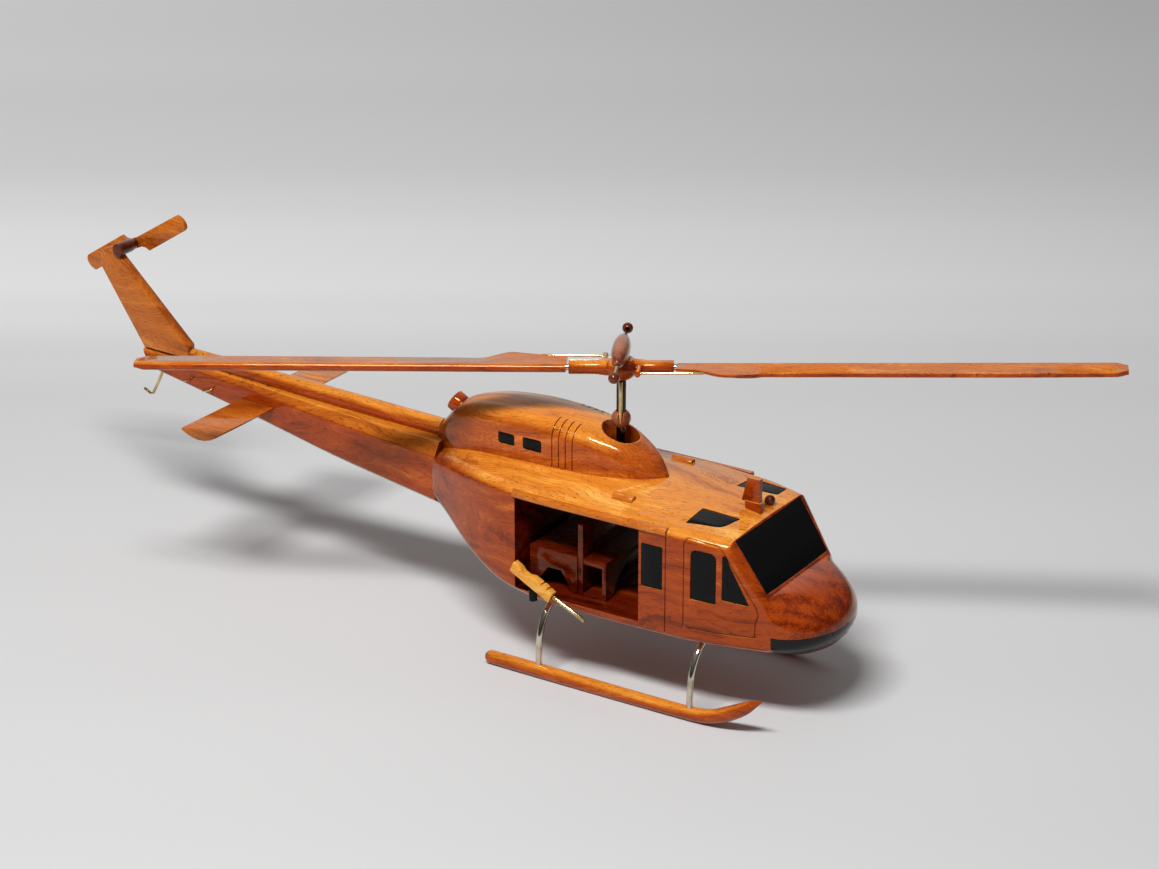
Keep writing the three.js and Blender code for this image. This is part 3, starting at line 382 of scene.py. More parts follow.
def wood(name, tones, shift, turn=(0, 0, 0), gloss=0.05, patches=1.0, painted_top_tones=None,
         painted_top_end=None):
    """Lacquered wood whose grain runs along X, turned and shifted by the mapping.

    Faces that look up take the second set of tones where one is given, a painted sheen
    standing in for the light from above, as far forward as the given end, in metres.
    """
    n = Nodes(name)
    coords = n.add("TexCoord").outputs["Object"]
    mapped = n.add("Mapping", Vector=coords, Location=shift, Rotation=turn).outputs[0]

    def noise(scale, detail, rough, vector=mapped, out="Fac"):
        stretched = n.add("Mapping", Vector=vector, Scale=scale).outputs[0]
        made = n.add("TexNoise", Vector=stretched, Scale=1, Detail=detail, Roughness=rough)
        return made.outputs[out]

    # slow waves bend the growth rings into flames
    waves = noise((11, 24, 24), 2, 0.5, out="Color")
    bend = n.add("VectorMath", {"operation": "MULTIPLY_ADD"})
    n.feed(bend.inputs[0], waves)
    n.feed(bend.inputs[1], (0.0, 0.045, 0.045))
    n.feed(bend.inputs[2], mapped)
    bent = bend.outputs[0]
    rings = n.add("TexWave", {"wave_type": "RINGS", "rings_direction": "X"}, Vector=bent,
                  Scale=38, Distortion=2.2, Detail=3, Detail_Scale=1.2,
                  Detail_Roughness=0.55).outputs["Fac"]
    streaks = noise((8, 170, 170), 3, 0.55, bent)
    fibres = noise((45, 900, 900), 4, 0.65, bent)
    clouds = noise((13, 26, 26), 3, 0.55)
    pores = noise((190, 2400, 2400), 2, 0.5, bent)
    pore_mask = n.ramp(pores, [(0.0, grey(1)), (0.33, grey(1)), (0.41, grey(0))])

    tone = n.math("MULTIPLY_ADD", rings, 0.16, 0.42)
    for part, share in ((streaks, 0.75), (fibres, 0.8), (clouds, 0.95 * patches)):
        tone = n.math("MULTIPLY_ADD", n.math("SUBTRACT", part, 0.5), share, tone)
    # end grain drinks more stain than the long grain
    facing = n.add("SeparateXYZ", Vector=n.add("TexCoord").outputs["Normal"])
    ends = n.math("ABSOLUTE", facing.outputs[0])
    tone = n.math("MULTIPLY_ADD", n.math("POWER", ends, 2.0), -0.3, tone)
    places = (0.12, 0.5, 0.92)
    colour = n.ramp(tone, list(zip(places, tones)))
    # painted sheen: faces that look up are painted lighter, in place of the light from above
    if painted_top_tones:
        painted_top_colour = n.ramp(tone, list(zip(places, painted_top_tones)))
        up = n.add("MapRange", {"interpolation_type": "SMOOTHSTEP"}, Value=facing.outputs[2],
                   From_Min=0.2, From_Max=0.85).outputs[0]
        level = n.add("MapRange", {"interpolation_type": "SMOOTHSTEP"}, Value=ends,
                      From_Min=0.2, From_Max=0.55, To_Min=1.0, To_Max=0.0).outputs[0]
        share = n.math("MULTIPLY", up, level)
        if painted_top_end is not None:
            forward = n.add("SeparateXYZ", Vector=coords).outputs[0]
            behind = n.add("MapRange", {"interpolation_type": "SMOOTHSTEP"}, Value=forward,
                           From_Min=painted_top_end - 4 * MM, From_Max=painted_top_end + 4 * MM, To_Min=1.0,
                           To_Max=0.0).outputs[0]
            share = n.math("MULTIPLY", share, behind)
        colour = n.mix(share, colour, painted_top_colour)
    sunk = (*[c * 0.3 for c in tones[0][:3]], 1)
    colour = n.mix(n.math("MULTIPLY", pore_mask, 0.65), colour, sunk)
    shader = n.shader
    n.feed(shader.inputs["Base Color"], colour)
    shader.inputs["Roughness"].default_value = gloss + 0.1
    shader.inputs["Specular IOR Level"].default_value = 0.36
    shader.inputs["Specular Tint"].default_value = (1.0, 0.5, 0.16, 1)
    shader.inputs["Coat Weight"].default_value = 1.0
    shader.inputs["Coat Roughness"].default_value = gloss
    shader.inputs["Coat IOR"].default_value = 1.3
    shader.inputs["Coat Tint"].default_value = (1.0, 0.93, 0.82, 1)
    grain_bump = n.add("Bump", Strength=0.3, Distance=0.00008, Height=fibres).outputs[0]
    n.feed(shader.inputs["Normal"], grain_bump)
    ripple = noise((70, 130, 130), 2, 0.4)
    dips = n.math("MULTIPLY_ADD", pore_mask, -0.06, ripple)
    coat_bump = n.add("Bump", Strength=0.5, Distance=0.00022, Height=dips).outputs[0]
    n.feed(shader.inputs["Coat Normal"], coat_bump)
    return n.material


def black_lacquer(name, ior, paleness):
    """Gloss black with a little dust and an uneven surface."""
    n = Nodes(name)
    coords = n.add("TexCoord").outputs["Object"]
    waves = n.add("TexNoise", Vector=coords, Scale=55, Detail=2, Roughness=0.4).outputs["Fac"]
    dust = n.add("TexNoise", Vector=coords, Scale=2200, Detail=2, Roughness=0.6).outputs["Fac"]
    colour = n.ramp(dust, [(0.3, grey(0.005 * paleness)), (0.75, grey(0.012 * paleness))])
    n.feed(n.shader.inputs["Base Color"], colour)
    rough = n.math("MULTIPLY_ADD", dust, 0.06, 0.07)
    n.feed(n.shader.inputs["Roughness"], rough)
    n.shader.inputs["IOR"].default_value = ior
    bump = n.add("Bump", Strength=0.35, Distance=0.0004, Height=waves).outputs[0]
    n.feed(n.shader.inputs["Normal"], bump)
    return n.material


def metal(name, bright, dull, rough, scratch=0.25):
    """Drawn rod: bright metal with tarnish patches and fine scratches."""
    n = Nodes(name)
    coords = n.add("TexCoord").outputs["Object"]
    tarnish = n.add("TexNoise", Vector=coords, Scale=160, Detail=3, Roughness=0.6).outputs["Fac"]
    fine = n.add("TexNoise", Vector=coords, Scale=2600, Detail=3, Roughness=0.7).outputs["Fac"]
    n.feed(n.shader.inputs["Base Color"], n.ramp(tarnish, [(0.3, dull), (0.62, bright)]))
    n.shader.inputs["Metallic"].default_value = 1.0
    n.feed(n.shader.inputs["Roughness"], n.math("MULTIPLY_ADD", tarnish, -0.18, rough + 0.12))
    bump = n.add("Bump", Strength=scratch, Distance=0.00002, Height=fine).outputs[0]
    n.feed(n.shader.inputs["Normal"], bump)
    return n.material


# dark, middle and light tones of each wood
MAHOGANY_TONES = ((0.15, 0.014, 0.001, 1), (0.37, 0.052, 0.004, 1), (0.62, 0.145, 0.014, 1))
# tones of no wood of their own: the painted sheen of the light from above on faces that look up
PAINTED_SHEEN_TONES = ((0.40, 0.10, 0.010, 1), (0.72, 0.25, 0.028, 1), (0.95, 0.48, 0.09, 1))
AMBER_TONES = ((0.28, 0.055, 0.005, 1), (0.56, 0.15, 0.014, 1), (0.82, 0.33, 0.05, 1))
COWLING_TONES = ((0.20, 0.03, 0.003, 1), (0.46, 0.09, 0.008, 1), (0.73, 0.22, 0.028, 1))
CABIN_TONES = ((0.03, 0.002, 0.001, 1), (0.10, 0.008, 0.001, 1), (0.26, 0.038, 0.005, 1))
ROSE_TONES = ((0.03, 0.005, 0.003, 1), (0.11, 0.02, 0.011, 1), (0.24, 0.065, 0.035, 1))
# a lighter copy of the rosewood tones, painted with the sheen of reflected light
PAINTED_LIGHT_ROSE_TONES = ((0.16, 0.04, 0.022, 1), (0.36, 0.125, 0.072, 1), (0.55, 0.24, 0.15, 1))
PALE_TONES = ((0.45, 0.16, 0.02, 1), (0.90, 0.42, 0.06, 1), (0.98, 0.66, 0.17, 1))

# the mahogany's upper faces carry the painted sheen, which stops short of the nose
mahogany = wood("mahogany", MAHOGANY_TONES, (0.02, 0.03, 0.012), painted_top_tones=PAINTED_SHEEN_TONES,
                painted_top_end=0.151)
cabin_wood = wood("cabin_wood", CABIN_TONES, (0.07, 0.11, 0.04))
amber = wood("amber_wood", AMBER_TONES, (0.3, 0.05, -0.03))
rose = wood("rosewood", ROSE_TONES, (0.1, 0.2, 0.07))
# the cowling's upper faces carry the painted sheen too
cowling_wood = wood("cowling_wood", COWLING_TONES, (0.02, 0.09, 0.05),
                    painted_top_tones=PAINTED_SHEEN_TONES)
dark_mahogany = wood("dark_mahogany", MAHOGANY_TONES, (0.2, 0.3, 0.12))
painted_light_rose = wood("painted_light_rosewood", PAINTED_LIGHT_ROSE_TONES, (0.12, 0.1, 0.17))
pale = wood("pale_wood", PALE_TONES, (0.5, 0.1, 0.03), gloss=0.2)
black = black_lacquer("black_lacquer", 1.22, 0.6)
chin_black = black_lacquer("chin_lacquer", 1.3, 1.0)
brass = metal("brass", (0.78, 0.61, 0.30, 1), (0.52, 0.37, 0.15, 1), 0.16)
nickel = metal("nickel", (0.70, 0.64, 0.53, 1), (0.42, 0.36, 0.26, 1), 0.08, 0.12)
bronze = metal("bronze", (0.09, 0.06, 0.04, 1), (0.035, 0.025, 0.018, 1), 0.14)
MATERIAL_OF = {
    "mahogany": mahogany, "amber_wood": amber, "rosewood": rose, "pale_wood": pale,
    "black_lacquer": black, "brass": brass, "nickel": nickel, "bronze": bronze,
}

# ---- fuselage ----
HULL_REAR = -93
NOSE_START = 94
NOSE_TIP = 118.3
NOSE_TIP_HEIGHT = 45
WINDSHIELD_TOP = (77, 87.5, 29.8)  # x, z, half width
WINDSHIELD_BOTTOM = (94, 63, 28.4)

roof_line = profile([(HULL_REAR, 88), (-80, 91.5), (-60, 94), (-30, 95), (0, 95.2), (25, 94.6),
                     (50, 92), WINDSHIELD_TOP[:2]])
belly_line = profile([(HULL_REAR, 57), (-83, 53.5), (-66, 44), (-52, 37.7), (-40, 33.8),
                      (-20, 31), (10, 30), (60, 30.5), (NOSE_START, 31)])
hull_half = profile([(HULL_REAR, 18), (-83, 23), (-67, 30), (-52, 35), (-40, 37.6), (-25, 39),
                     (0, 39.3), (45, 39), (60, 38.4), (WINDSHIELD_TOP[0], 35.4),
                     (NOSE_START, 31.5)])
roof_crown = profile([(HULL_REAR, 3), (-50, 4.5), (0, 5), (40, 3.5), (WINDSHIELD_TOP[0], 0.6),
                      (NOSE_START, 0.6)])


def nose_share(x):
    return min(max((x - NOSE_START) / (NOSE_TIP - NOSE_START), 0), 1)


def rounding(x, power):
    return math.sqrt(max(1 - nose_share(x) ** power, 0))


def hull_top(x):
    if x <= WINDSHIELD_TOP[0]:
        return roof_line(x)
    if x > NOSE_START:
        return NOSE_TIP_HEIGHT + (WINDSHIELD_BOTTOM[1] - NOSE_TIP_HEIGHT) * rounding(x, 1.6)
    share = (x - WINDSHIELD_TOP[0]) / (WINDSHIELD_BOTTOM[0] - WINDSHIELD_TOP[0])
    return lerp(WINDSHIELD_TOP[1], WINDSHIELD_BOTTOM[1], share)


def hull_bottom(x):
    if x <= NOSE_START:
        return belly_line(x)
    return NOSE_TIP_HEIGHT - (NOSE_TIP_HEIGHT - belly_line(NOSE_START)) * rounding(x, 2.8)


def arched_section(half, top, bottom, crown, top_corner, bottom_corner, keel, quarter, arch):
    (top_y, top_z), (bottom_y, bottom_z) = top_corner, bottom_corner
    side = []
    for k in range(5):
        share = k / 4
        side.append((share * (half - bottom_y), bottom + keel * share**2))
    for k in range(1, quarter + 1):
        a = k / quarter * math.pi / 2
        side.append((half - bottom_y * (1 - math.sin(a)),
                     bottom + keel + bottom_z * (1 - math.cos(a))))
    shoulder = top - crown
    side_low, side_high = side[-1][1], shoulder - top_z
    side += [(half, lerp(side_low, side_high, k / 5)) for k in range(1, 5)]
    for k in range(quarter + 1):
        a = k / quarter * math.pi / 2
        side.append((half - top_y * (1 - math.cos(a)), shoulder - top_z * (1 - math.sin(a))))
    for k in range(arch - 1, -1, -1):
        share = k / arch
        side.append((share * (half - top_y), top - crown * share**2))
    return side + [(-y, z) for y, z in side[-2:0:-1]]


def hull_section(x):
    half = hull_half(min(x, NOSE_START)) * rounding(x, 2.1)
    top, bottom = hull_top(x), hull_bottom(x)
    boxy, front = smoothstep(x, HULL_REAR, -50), smoothstep(x, 70, NOSE_START)
    nose = math.sqrt(nose_share(x))
    upper, lower = (top - NOSE_TIP_HEIGHT) * 0.98, (NOSE_TIP_HEIGHT - bottom) * 0.98
    return arched_section(
        half, top, bottom, roof_crown(x) * (1 - nose),
        (lerp(lerp(7, 4, front), half * 0.98, nose),
         lerp(lerp(lerp(9, 5, boxy), 8, front), upper, nose)),
        (lerp(lerp(9, 12, boxy), half * 0.98, nose), lerp(lerp(9, 6, boxy), lower, nose)),
        3 * (1 - nose), 12, 10)


def hull_stations():
    body = spread(HULL_REAR, WINDSHIELD_TOP[0], 76) + spread(78.5, 92.5, 8)
    nose = [NOSE_START + (NOSE_TIP - NOSE_START) * math.sin(t) for t in spread(0.0, 1.5, 26)]
    return body + nose + [NOSE_TIP - 0.02]


SIDE_WINDOWS = {
    "crew_window": [(59.7, 57.6, 0.8), (71.7, 56.8, 0.8), (71.7, 81, 3.5), (59.7, 81.8, 3.5)],
    "quarter_window": [(74.3, 59.5, 0.6), (86.9, 58.5, 0.6), (75.7, 80.9, 0.8),
                       (74.3, 80.9, 0.5)],
    "post_window": [(34.8, 58.3, 0.8), (45.7, 58.3, 0.8), (45.7, 79.3, 0.8), (34.8, 79.3, 0.8)],
}
ROOF_WINDOWS = {
    "starboard": [(52, -30, 1), (52.2, -15, 1), (69.8, -11.5, 1), (67.3, -24.5, 4)],
    "port": [(52, 30, 1), (52.2, 15, 1), (69.8, 21.8, 1), (69.4, 31.6, 1)],
}
CABIN = {"x": (-33, 33.5), "z": (40.3, 85)}
CABIN_HALF_WIDTH = 38
INLAY_DEPTH = 1.2
WIDE = (-60, 60)  # past both sides of the hull
GUN_POST = {"x": -20.5, "y": 42.5, "z": (38.3, 44.2), "radius": 2.3}
CHIN = {"rear": 97, "front": 116.6, "top": 45}
CHIN_GAP = 0.15
DOOR_LINE_WIDTH, DOOR_LINE_DEPTH = 0.7, 0.6
DOOR_LINES = [
    [(56.6, 43.5), (56.6, 84.3), (58, 86.2), (72.2, 84.6), (74.6, 82.8), (90.3, 57.6),
     (91, 54.6), (89.8, 50.5), (89.6, 43.8)],
    [(56.6, 43.5), (73, 43.2), (89.6, 43.8)],
    [(47.4, 38.2), (47.4, 84.6)],
]


def engrave(obj, outlines, axis, spans, depth, inwards, source):
    """Cuts outlines into a skin to an even depth below it."""
    tool = prisms("engraving", outlines, axis, *spans)
    combine(tool, copy_of(source, Vector(inwards) * depth))
    combine(obj, tool)


hull_skin = loft("hull_skin", hull_stations(), hull_section)
hull = copy_of(hull_skin)
hull.name = "hull"
combine(hull, box("cabin", CABIN["x"], WIDE, CABIN["z"]))
for side, sign in SIDES.items():
    span, inwards = sorted((sign * 24, sign * 60)), (0, -sign, 0)
    windows = [rounded(c) for c in SIDE_WINDOWS.values()]
    engrave(hull, windows, "y", span, INLAY_DEPTH, inwards, hull_skin)
    for line in DOOR_LINES:
        groove = [ribbon(line, DOOR_LINE_WIDTH)]
        engrave(hull, groove, "y", span, DOOR_LINE_DEPTH, inwards, hull_skin)
    roof_window = [rounded(ROOF_WINDOWS[side])]
    engrave(hull, roof_window, "z", (70, 110), INLAY_DEPTH, (0, 0, -1), hull_skin)
    foot, head = [(GUN_POST["x"], sign * GUN_POST["y"], z) for z in GUN_POST["z"]]
    combine(hull, dowel("seat", foot, head, GUN_POST["radius"]))
top_half, bottom_half = WINDSHIELD_TOP[2], WINDSHIELD_BOTTOM[2]
PANE = [(-top_half, 86.6, 0.8), (-bottom_half, 63.9, 0.8), (bottom_half, 63.9, 0.8),
        (top_half, 86.6, 0.8)]
engrave(hull, [rounded(PANE)], "x", (60, 125), INLAY_DEPTH, (-1.3, 0, 0), hull_skin)
chin_block = box("chin_cut", (CHIN["rear"], CHIN["front"]), WIDE, (0, CHIN["top"]))
chin = combine(copy_of(hull_skin), chin_block, "INTERSECT")
combine(hull, box("chin_room", (CHIN["rear"] - CHIN_GAP, CHIN["front"] + CHIN_GAP), WIDE,
                  (0, CHIN["top"] + CHIN_GAP)))
combine(hull, dowel("mast_bore", (0, 0, 87.7), (0, 0, 110), 2.5))
finish_piece(soften(weld(hull, 2e-5), 0.25, 40), mahogany, "fuselage")
hull.data.materials.append(cabin_wood)
hull.data.materials.append(chin_black)
inner = [[edge * MM + offset for edge in edges] for edges, offset in
         ((CABIN["x"], SHIFT), ((-CABIN_HALF_WIDTH, CABIN_HALF_WIDTH), 0), (CABIN["z"], 0))]
cap_rear = (CHIN["front"] + 0.1) * MM + SHIFT
for face in hull.data.polygons:
    if all(low - 1e-4 < c < high + 1e-4 for c, (low, high) in zip(face.center, inner)):
        face.material_index = 1
    # the black of the chin runs on under the small cap of the nose
    if face.center.x > cap_rear and face.center.z < CHIN["top"] * MM:
        face.material_index = 2
chin.name = "chin"
finish_piece(soften(weld(chin), 0.25, 40), chin_black, "chin_panel")

# ---- engine cowling ----
COWLING_BASE = 80
cowling_top = profile([(-98, 95.5), (-92, 102.5), (-84, 110.5), (-70, 115.2), (-50, 117.4),
                       (-33, 117.4), (-15, 115.8), (0, 112.5), (12, 107), (20, 101.5),
                       (25.5, 94.5)])
cowling_half = profile([(-98, 6), (-88, 10.5), (-75, 13.5), (-55, 16), (-25, 16.8), (-5, 15.5),
                        (8, 12.5), (18, 8), (25.5, 1.5)])
COWLING_WINDOWS = {
    "cowling_window_rear": [(-56.8, 99.2, 1.4), (-47.4, 99.2, 1.4), (-47.4, 104.9, 1.4),
                            (-56.8, 104.9, 1.4)],
    "cowling_window_front": [(-42.8, 99.2, 1.4), (-32.4, 99.2, 1.4), (-32.4, 105.3, 1.4),
                             (-42.8, 105.3, 1.4)],
}


def cowling_section(x):
    half, top = cowling_half(x), cowling_top(x)
    return arched_section(half, top, COWLING_BASE, half * 0.08,
                          (half * 0.5, min(8, (top - COWLING_BASE) * 0.4)), (0.1, 0.1), 0, 14, 8)


cowling_skin = loft("cowling_skin", spread(-98, 25.5, 110), cowling_section)
cowling = copy_of(cowling_skin)
cowling.name = "cowling"
combine(cowling, dowel("mast_well", (0, 0, 60), (0, 0, 140), 8.8, 48))
LOUVRE_WIDTH, LOUVRE_DEPTH = 0.75, 0.8
louvres = [[(x, 84), (x + LOUVRE_WIDTH, 84), (x + LOUVRE_WIDTH, 116.5), (x, 116.5)]
           for x in (-27, -23.4, -19.8, -16.2)]
windows = [rounded(c) for c in COWLING_WINDOWS.values()]
for sign in SIDES.values():
    span = sorted((sign * 8, sign * 40))
    engrave(cowling, windows, "y", span, INLAY_DEPTH, (0, -sign, 0), cowling_skin)
    span = sorted((sign * 8.5, sign * 40))
    engrave(cowling, louvres, "y", span, LOUVRE_DEPTH, (0, -sign, -0.6), cowling_skin)
combine(cowling, copy_of(hull_skin, (0, 0, 0.05)))
finish_piece(soften(weld(cowling, 2e-5), 0.2, 40), cowling_wood, "engine_cowling")

# ---- tail boom ----
BOOM_REAR, BOOM_FRONT = -281, HULL_REAR - 0.3
BOOM_ROUNDING = 0.8
boom_bottom = profile([(BOOM_REAR, 88.5), (-269, 86.3), (-225, 78.3), (-160, 66.5),
                       (BOOM_FRONT, 57)])
boom_deck = profile([(BOOM_REAR, 97), (-249, 95.5), (-217, 93.9), (-163, 91.4),
                     (BOOM_FRONT, 89.8)])
boom_half = profile([(BOOM_REAR, 3.8), (-203, 7.2), (-150, 11.3), (BOOM_FRONT, 15.5)])
spine_top = profile([(-251, 101.9), (-165, 99), (BOOM_FRONT - 5, 96.7)])
spine_radius = profile([(-251, 3.6), (BOOM_FRONT - 5, 5)])


def boom_section(x):
    half, deck, bottom = boom_half(x), boom_deck(x), boom_bottom(x)
    height = deck - bottom
    side = [(half * 0.7, bottom + height * 0.03), (half, bottom + height * 0.14),
            (half, deck - height * 0.2), (half * 0.74, deck)]
    ring = side + [(-y, z) for y, z in reversed(side)]
    return rounded([(y, z, BOOM_ROUNDING) for y, z in ring])


def round_section(x):
    radius, top = spine_radius(x), spine_top(x)
    turns = [2 * math.pi * k / 32 for k in range(32)]
    return [(radius * math.cos(a), top - radius + radius * math.sin(a)) for a in turns]


boom = loft("boom", spread(BOOM_REAR, BOOM_FRONT, 60), boom_section)
spine = loft("spine", spread(-250, BOOM_FRONT - 4.8, 50), round_section)
boom_skin = copy_of(boom)
# a panel line between the two handles
HATCH_LINE = [(-248.8, 86.4), (-245.5, 89.3), (-232.3, 88.2), (-233.9, 85.6)]
for sign in SIDES.values():
    span = sorted((sign * 2, sign * 14))
    engrave(boom, [ribbon(HATCH_LINE, 0.4)], "y", span, 0.3, (0, -sign, 0), boom_skin)
combine(boom, spine, "UNION")
bpy.data.objects.remove(boom_skin)
end_cut = [(-300, 80), (-269, 80), (-280.9, 98), (-300, 98)]
combine(boom, prisms("end_cut", [end_cut], "y", -20, 20))
combine(boom, copy_of(cowling_skin, (-0.05, 0, 0)))
finish_piece(shade(weld(boom), 28), mahogany, "tail_boom")

# ---- fin ----
FIN_HALF_THICKNESS, FIN_ROUNDING = 2.8, 1.2
TAIL_SHAFT, TAIL_BORE = (-292.3, 146.8), 3.6
FIN_OUTLINE = [(-279.6, 97.3), (-250.8, 96.8), (-250.8, 103.6), (-292.9, 143.4), TAIL_SHAFT,
               (-295.6, 148.8), (-302.6, 145.2), (-304.2, 143.8), (-304.9, 141.6),
               (-305.2, 136)]


def inset(corners, by):
    """An outline that turns left, moved inwards by the same distance all round."""
    path = [Vector(c) for c in corners]
    out = []
    for i, point in enumerate(path):
        into = (point - path[i - 1]).normalized()
        onward = (path[(i + 1) % len(path)] - point).normalized()
        square = Vector((-into.y, into.x))
        inward = (square + Vector((-onward.y, onward.x))).normalized()
        out.append(point + inward * by / max(inward.dot(square), 0.4))
    return out


rings = []
for sign, steps in ((1, range(5)), (-1, range(4, -1, -1))):
    for step in steps:
        angle = math.radians(22.5 * step)
        y = sign * (FIN_HALF_THICKNESS - FIN_ROUNDING * (1 - math.cos(angle)))
        edge = inset(FIN_OUTLINE, FIN_ROUNDING * (1 - math.sin(angle)))
        rings.append([(x, y, z) for x, z in edge])
fin = skin("fin", rings)
combine(fin, dowel("shaft_bore", (TAIL_SHAFT[0], -10, TAIL_SHAFT[1]),
                   (TAIL_SHAFT[0], 10, TAIL_SHAFT[1]), TAIL_BORE))
finish_piece(shade(weld(fin)), amber, "tail_fin")

# ---- blades ----
ROTOR_RADIUS = 225.2
BLADE_ROOT = 25.2
HUB_HEIGHT = 142.7
ROTOR_YAW = math.radians(26.2)
ROTOR_TILT = math.radians(2.2)
CONING = math.tan(math.radians(0.2))
ROD_RADIUS = 2
board_width = profile([(BLADE_ROOT, 8.9), (35, 10.3), (45, 14.1), (52, 15.2), (58, 13.6),
                       (64, 10.8), (72, 10.4), (219, 10.4), (ROTOR_RADIUS, 7.2)])
board_under = profile([(BLADE_ROOT, 0.9), (35, 0.8), (45, 0.1), (52, 0.1), (63, -1.2),
                       (85, -1.4), (ROTOR_RADIUS, -1.4)])
board_thick = profile([(BLADE_ROOT, 1.6), (50, 1.7), (80, 2.2), (ROTOR_RADIUS, 2.2)])


def blade_section(r):
    """A flat board with a round rod along its leading edge."""
    rise = (r - BLADE_ROOT) * CONING
    tip = smoothstep(r, ROTOR_RADIUS - 5, ROTOR_RADIUS)
    edge, under, thick = 0.5 - board_width(r), board_under(r), board_thick(r)
    ring = [(edge + 0.5, under + rise), (edge + 0.1, under + rise + 0.3)]
    ring += [(edge + 0.1, under + thick + rise - 0.3), (edge + 0.5, under + thick + rise)]
    rod = []
    for a in spread(math.radians(105), math.radians(-105), 23):
        rod.append((0.5 - tip * 1.5 + ROD_RADIUS * math.cos(a),
                    -0.3 + rise + ROD_RADIUS * (1 - tip * 0.3) * math.sin(a)))
    return (ring + rod)[::-1]


rotor_turn = (
    Matrix.Translation((SHIFT, 0, HUB_HEIGHT * MM))
    @ Matrix.Rotation(ROTOR_YAW, 4, "Z")
    @ Matrix.Rotation(-ROTOR_TILT, 4, "Y")
)
unplace = Matrix.Translation((-SHIFT, 0, 0))
for half, turn in (("forward", 0), ("aft", math.pi)):
    stations = spread(BLADE_ROOT, 80, 56) + spread(84, 216, 30) + spread(217.5, 225.1, 10)
    blade = loft(half + "_blade_looks", stations, blade_section)
    combine(blade, dowel("pin_hole", (20, 0, 0), (31, 0, 0), 1.65, 24))
    blade.data.transform(rotor_turn @ Matrix.Rotation(turn, 4, "Z") @ unplace)
    # the blades' upper faces are painted in the lighter amber tones, a painted sheen of the light
    # from above
    grain = wood(half + "_blade_wood", MAHOGANY_TONES, (0.0, 0.03 + 0.05 * turn, -0.11),
                 turn=(0, 0, -ROTOR_YAW), patches=0.5, painted_top_tones=AMBER_TONES)
    finish_piece(shade(weld(blade)), grain, half + "_blade")

# ---- landing gear ----
SKID_REAR, SKID_TIP, SKID_Y, SKID_RADIUS, SKID_CENTRE = -47, 99, 41.3, 3.2, 3
TOE_START = 60
PORT_TOE_SHARE = 0.96  # the port toe is a little shorter
CROSS_TUBE_RADIUS = 1.5
skid_top = profile([(SKID_REAR, SKID_CENTRE + SKID_RADIUS - 1.2),
                    (SKID_REAR + 2, SKID_CENTRE + SKID_RADIUS),
                    (TOE_START, SKID_CENTRE + SKID_RADIUS), (72.5, 7.9), (82, 12.2),
                    (91.5, 17), (SKID_TIP, 19.2)])
skid_under = profile([(SKID_REAR, SKID_CENTRE - SKID_RADIUS + 1.2),
                      (SKID_REAR + 2, SKID_CENTRE - SKID_RADIUS),
                      (62, SKID_CENTRE - SKID_RADIUS), (72.5, 0.9), (82, 4.4), (91.5, 10.4),
                      (SKID_TIP, 18.4)])
skid_half = profile([(SKID_REAR, 2), (SKID_REAR + 2, SKID_RADIUS), (75, SKID_RADIUS),
                     (88, SKID_RADIUS * 0.8), (SKID_TIP, 0.4)])


def skid_section(x, y):
    middle, height = (skid_top(x) + skid_under(x)) / 2, (skid_top(x) - skid_under(x)) / 2
    turns = [2 * math.pi * k / 32 for k in range(32)]
    return [(y + skid_half(x) * math.cos(a), middle + height * math.sin(a)) for a in turns]


for side, sign in SIDES.items():
    stations = [SKID_REAR + 0.02, SKID_REAR + 0.3, SKID_REAR + 0.7, SKID_REAR + 1.2]
    stations += [SKID_REAR + 2] + spread(-44, 58, 18) + spread(TOE_START, SKID_TIP, 44)
    skid = loft(side + "_skid_looks", stations, lambda x: skid_section(x, sign * SKID_Y))
    if side == "port":
        toe = TOE_START * MM + SHIFT
        for vertex in skid.data.vertices:
            vertex.co.x = min(vertex.co.x, toe + (vertex.co.x - toe) * PORT_TOE_SHARE)
    combine(skid, box("ground", (-100, 150), (-80, 80), (-20, 0)))
    finish_piece(shade(weld(skid)), mahogany, side + "_skid")
for name, x in (("forward_cross_tube", 62.2), ("aft_cross_tube", -18.2)):
    half = [(x, SKID_Y, SKID_CENTRE + 1), (x, SKID_Y, 13), (x, SKID_Y - 1.4, 22),
            (x, SKID_Y - 6, 30), (x, SKID_Y - 13, 34.4), (x, SKID_Y - 19, 35.2)]
    route = half + [(px, -y, z) for px, y, z in reversed(half)]
    rod = tube(name + "_looks", smooth_path(route, 10), CROSS_TUBE_RADIUS, 24)
    finish_piece(shade(rod, 50), nickel, name)

# ---- the rest: the CAD solids with softened edges ----
SOFTENING = {"black_lacquer": 0.12, "brass": 0.08, "nickel": 0.08}
WOOD_SOFTENING = 0.3
# the saddle and the swashplate ball take the lighter rosewood, whose paleness is a painted
# reflection
OTHER_WOODS = {
    "rotor_saddle": painted_light_rose, "swashplate_ball": painted_light_rose, "bench_seat": cabin_wood,
    "seat_back": cabin_wood, "box_seat": cabin_wood, "exhaust_pipe": dark_mahogany,
}
for node, source in frame["nodes"].items():
    if source.hide_render:
        continue
    slot = SLOT_OF[node]
    material = OTHER_WOODS.get(node, MATERIAL_OF[slot])
    refined(node, material, SOFTENING.get(slot, WOOD_SOFTENING))
bpy.data.objects.remove(hull_skin)
bpy.data.objects.remove(cowling_skin)

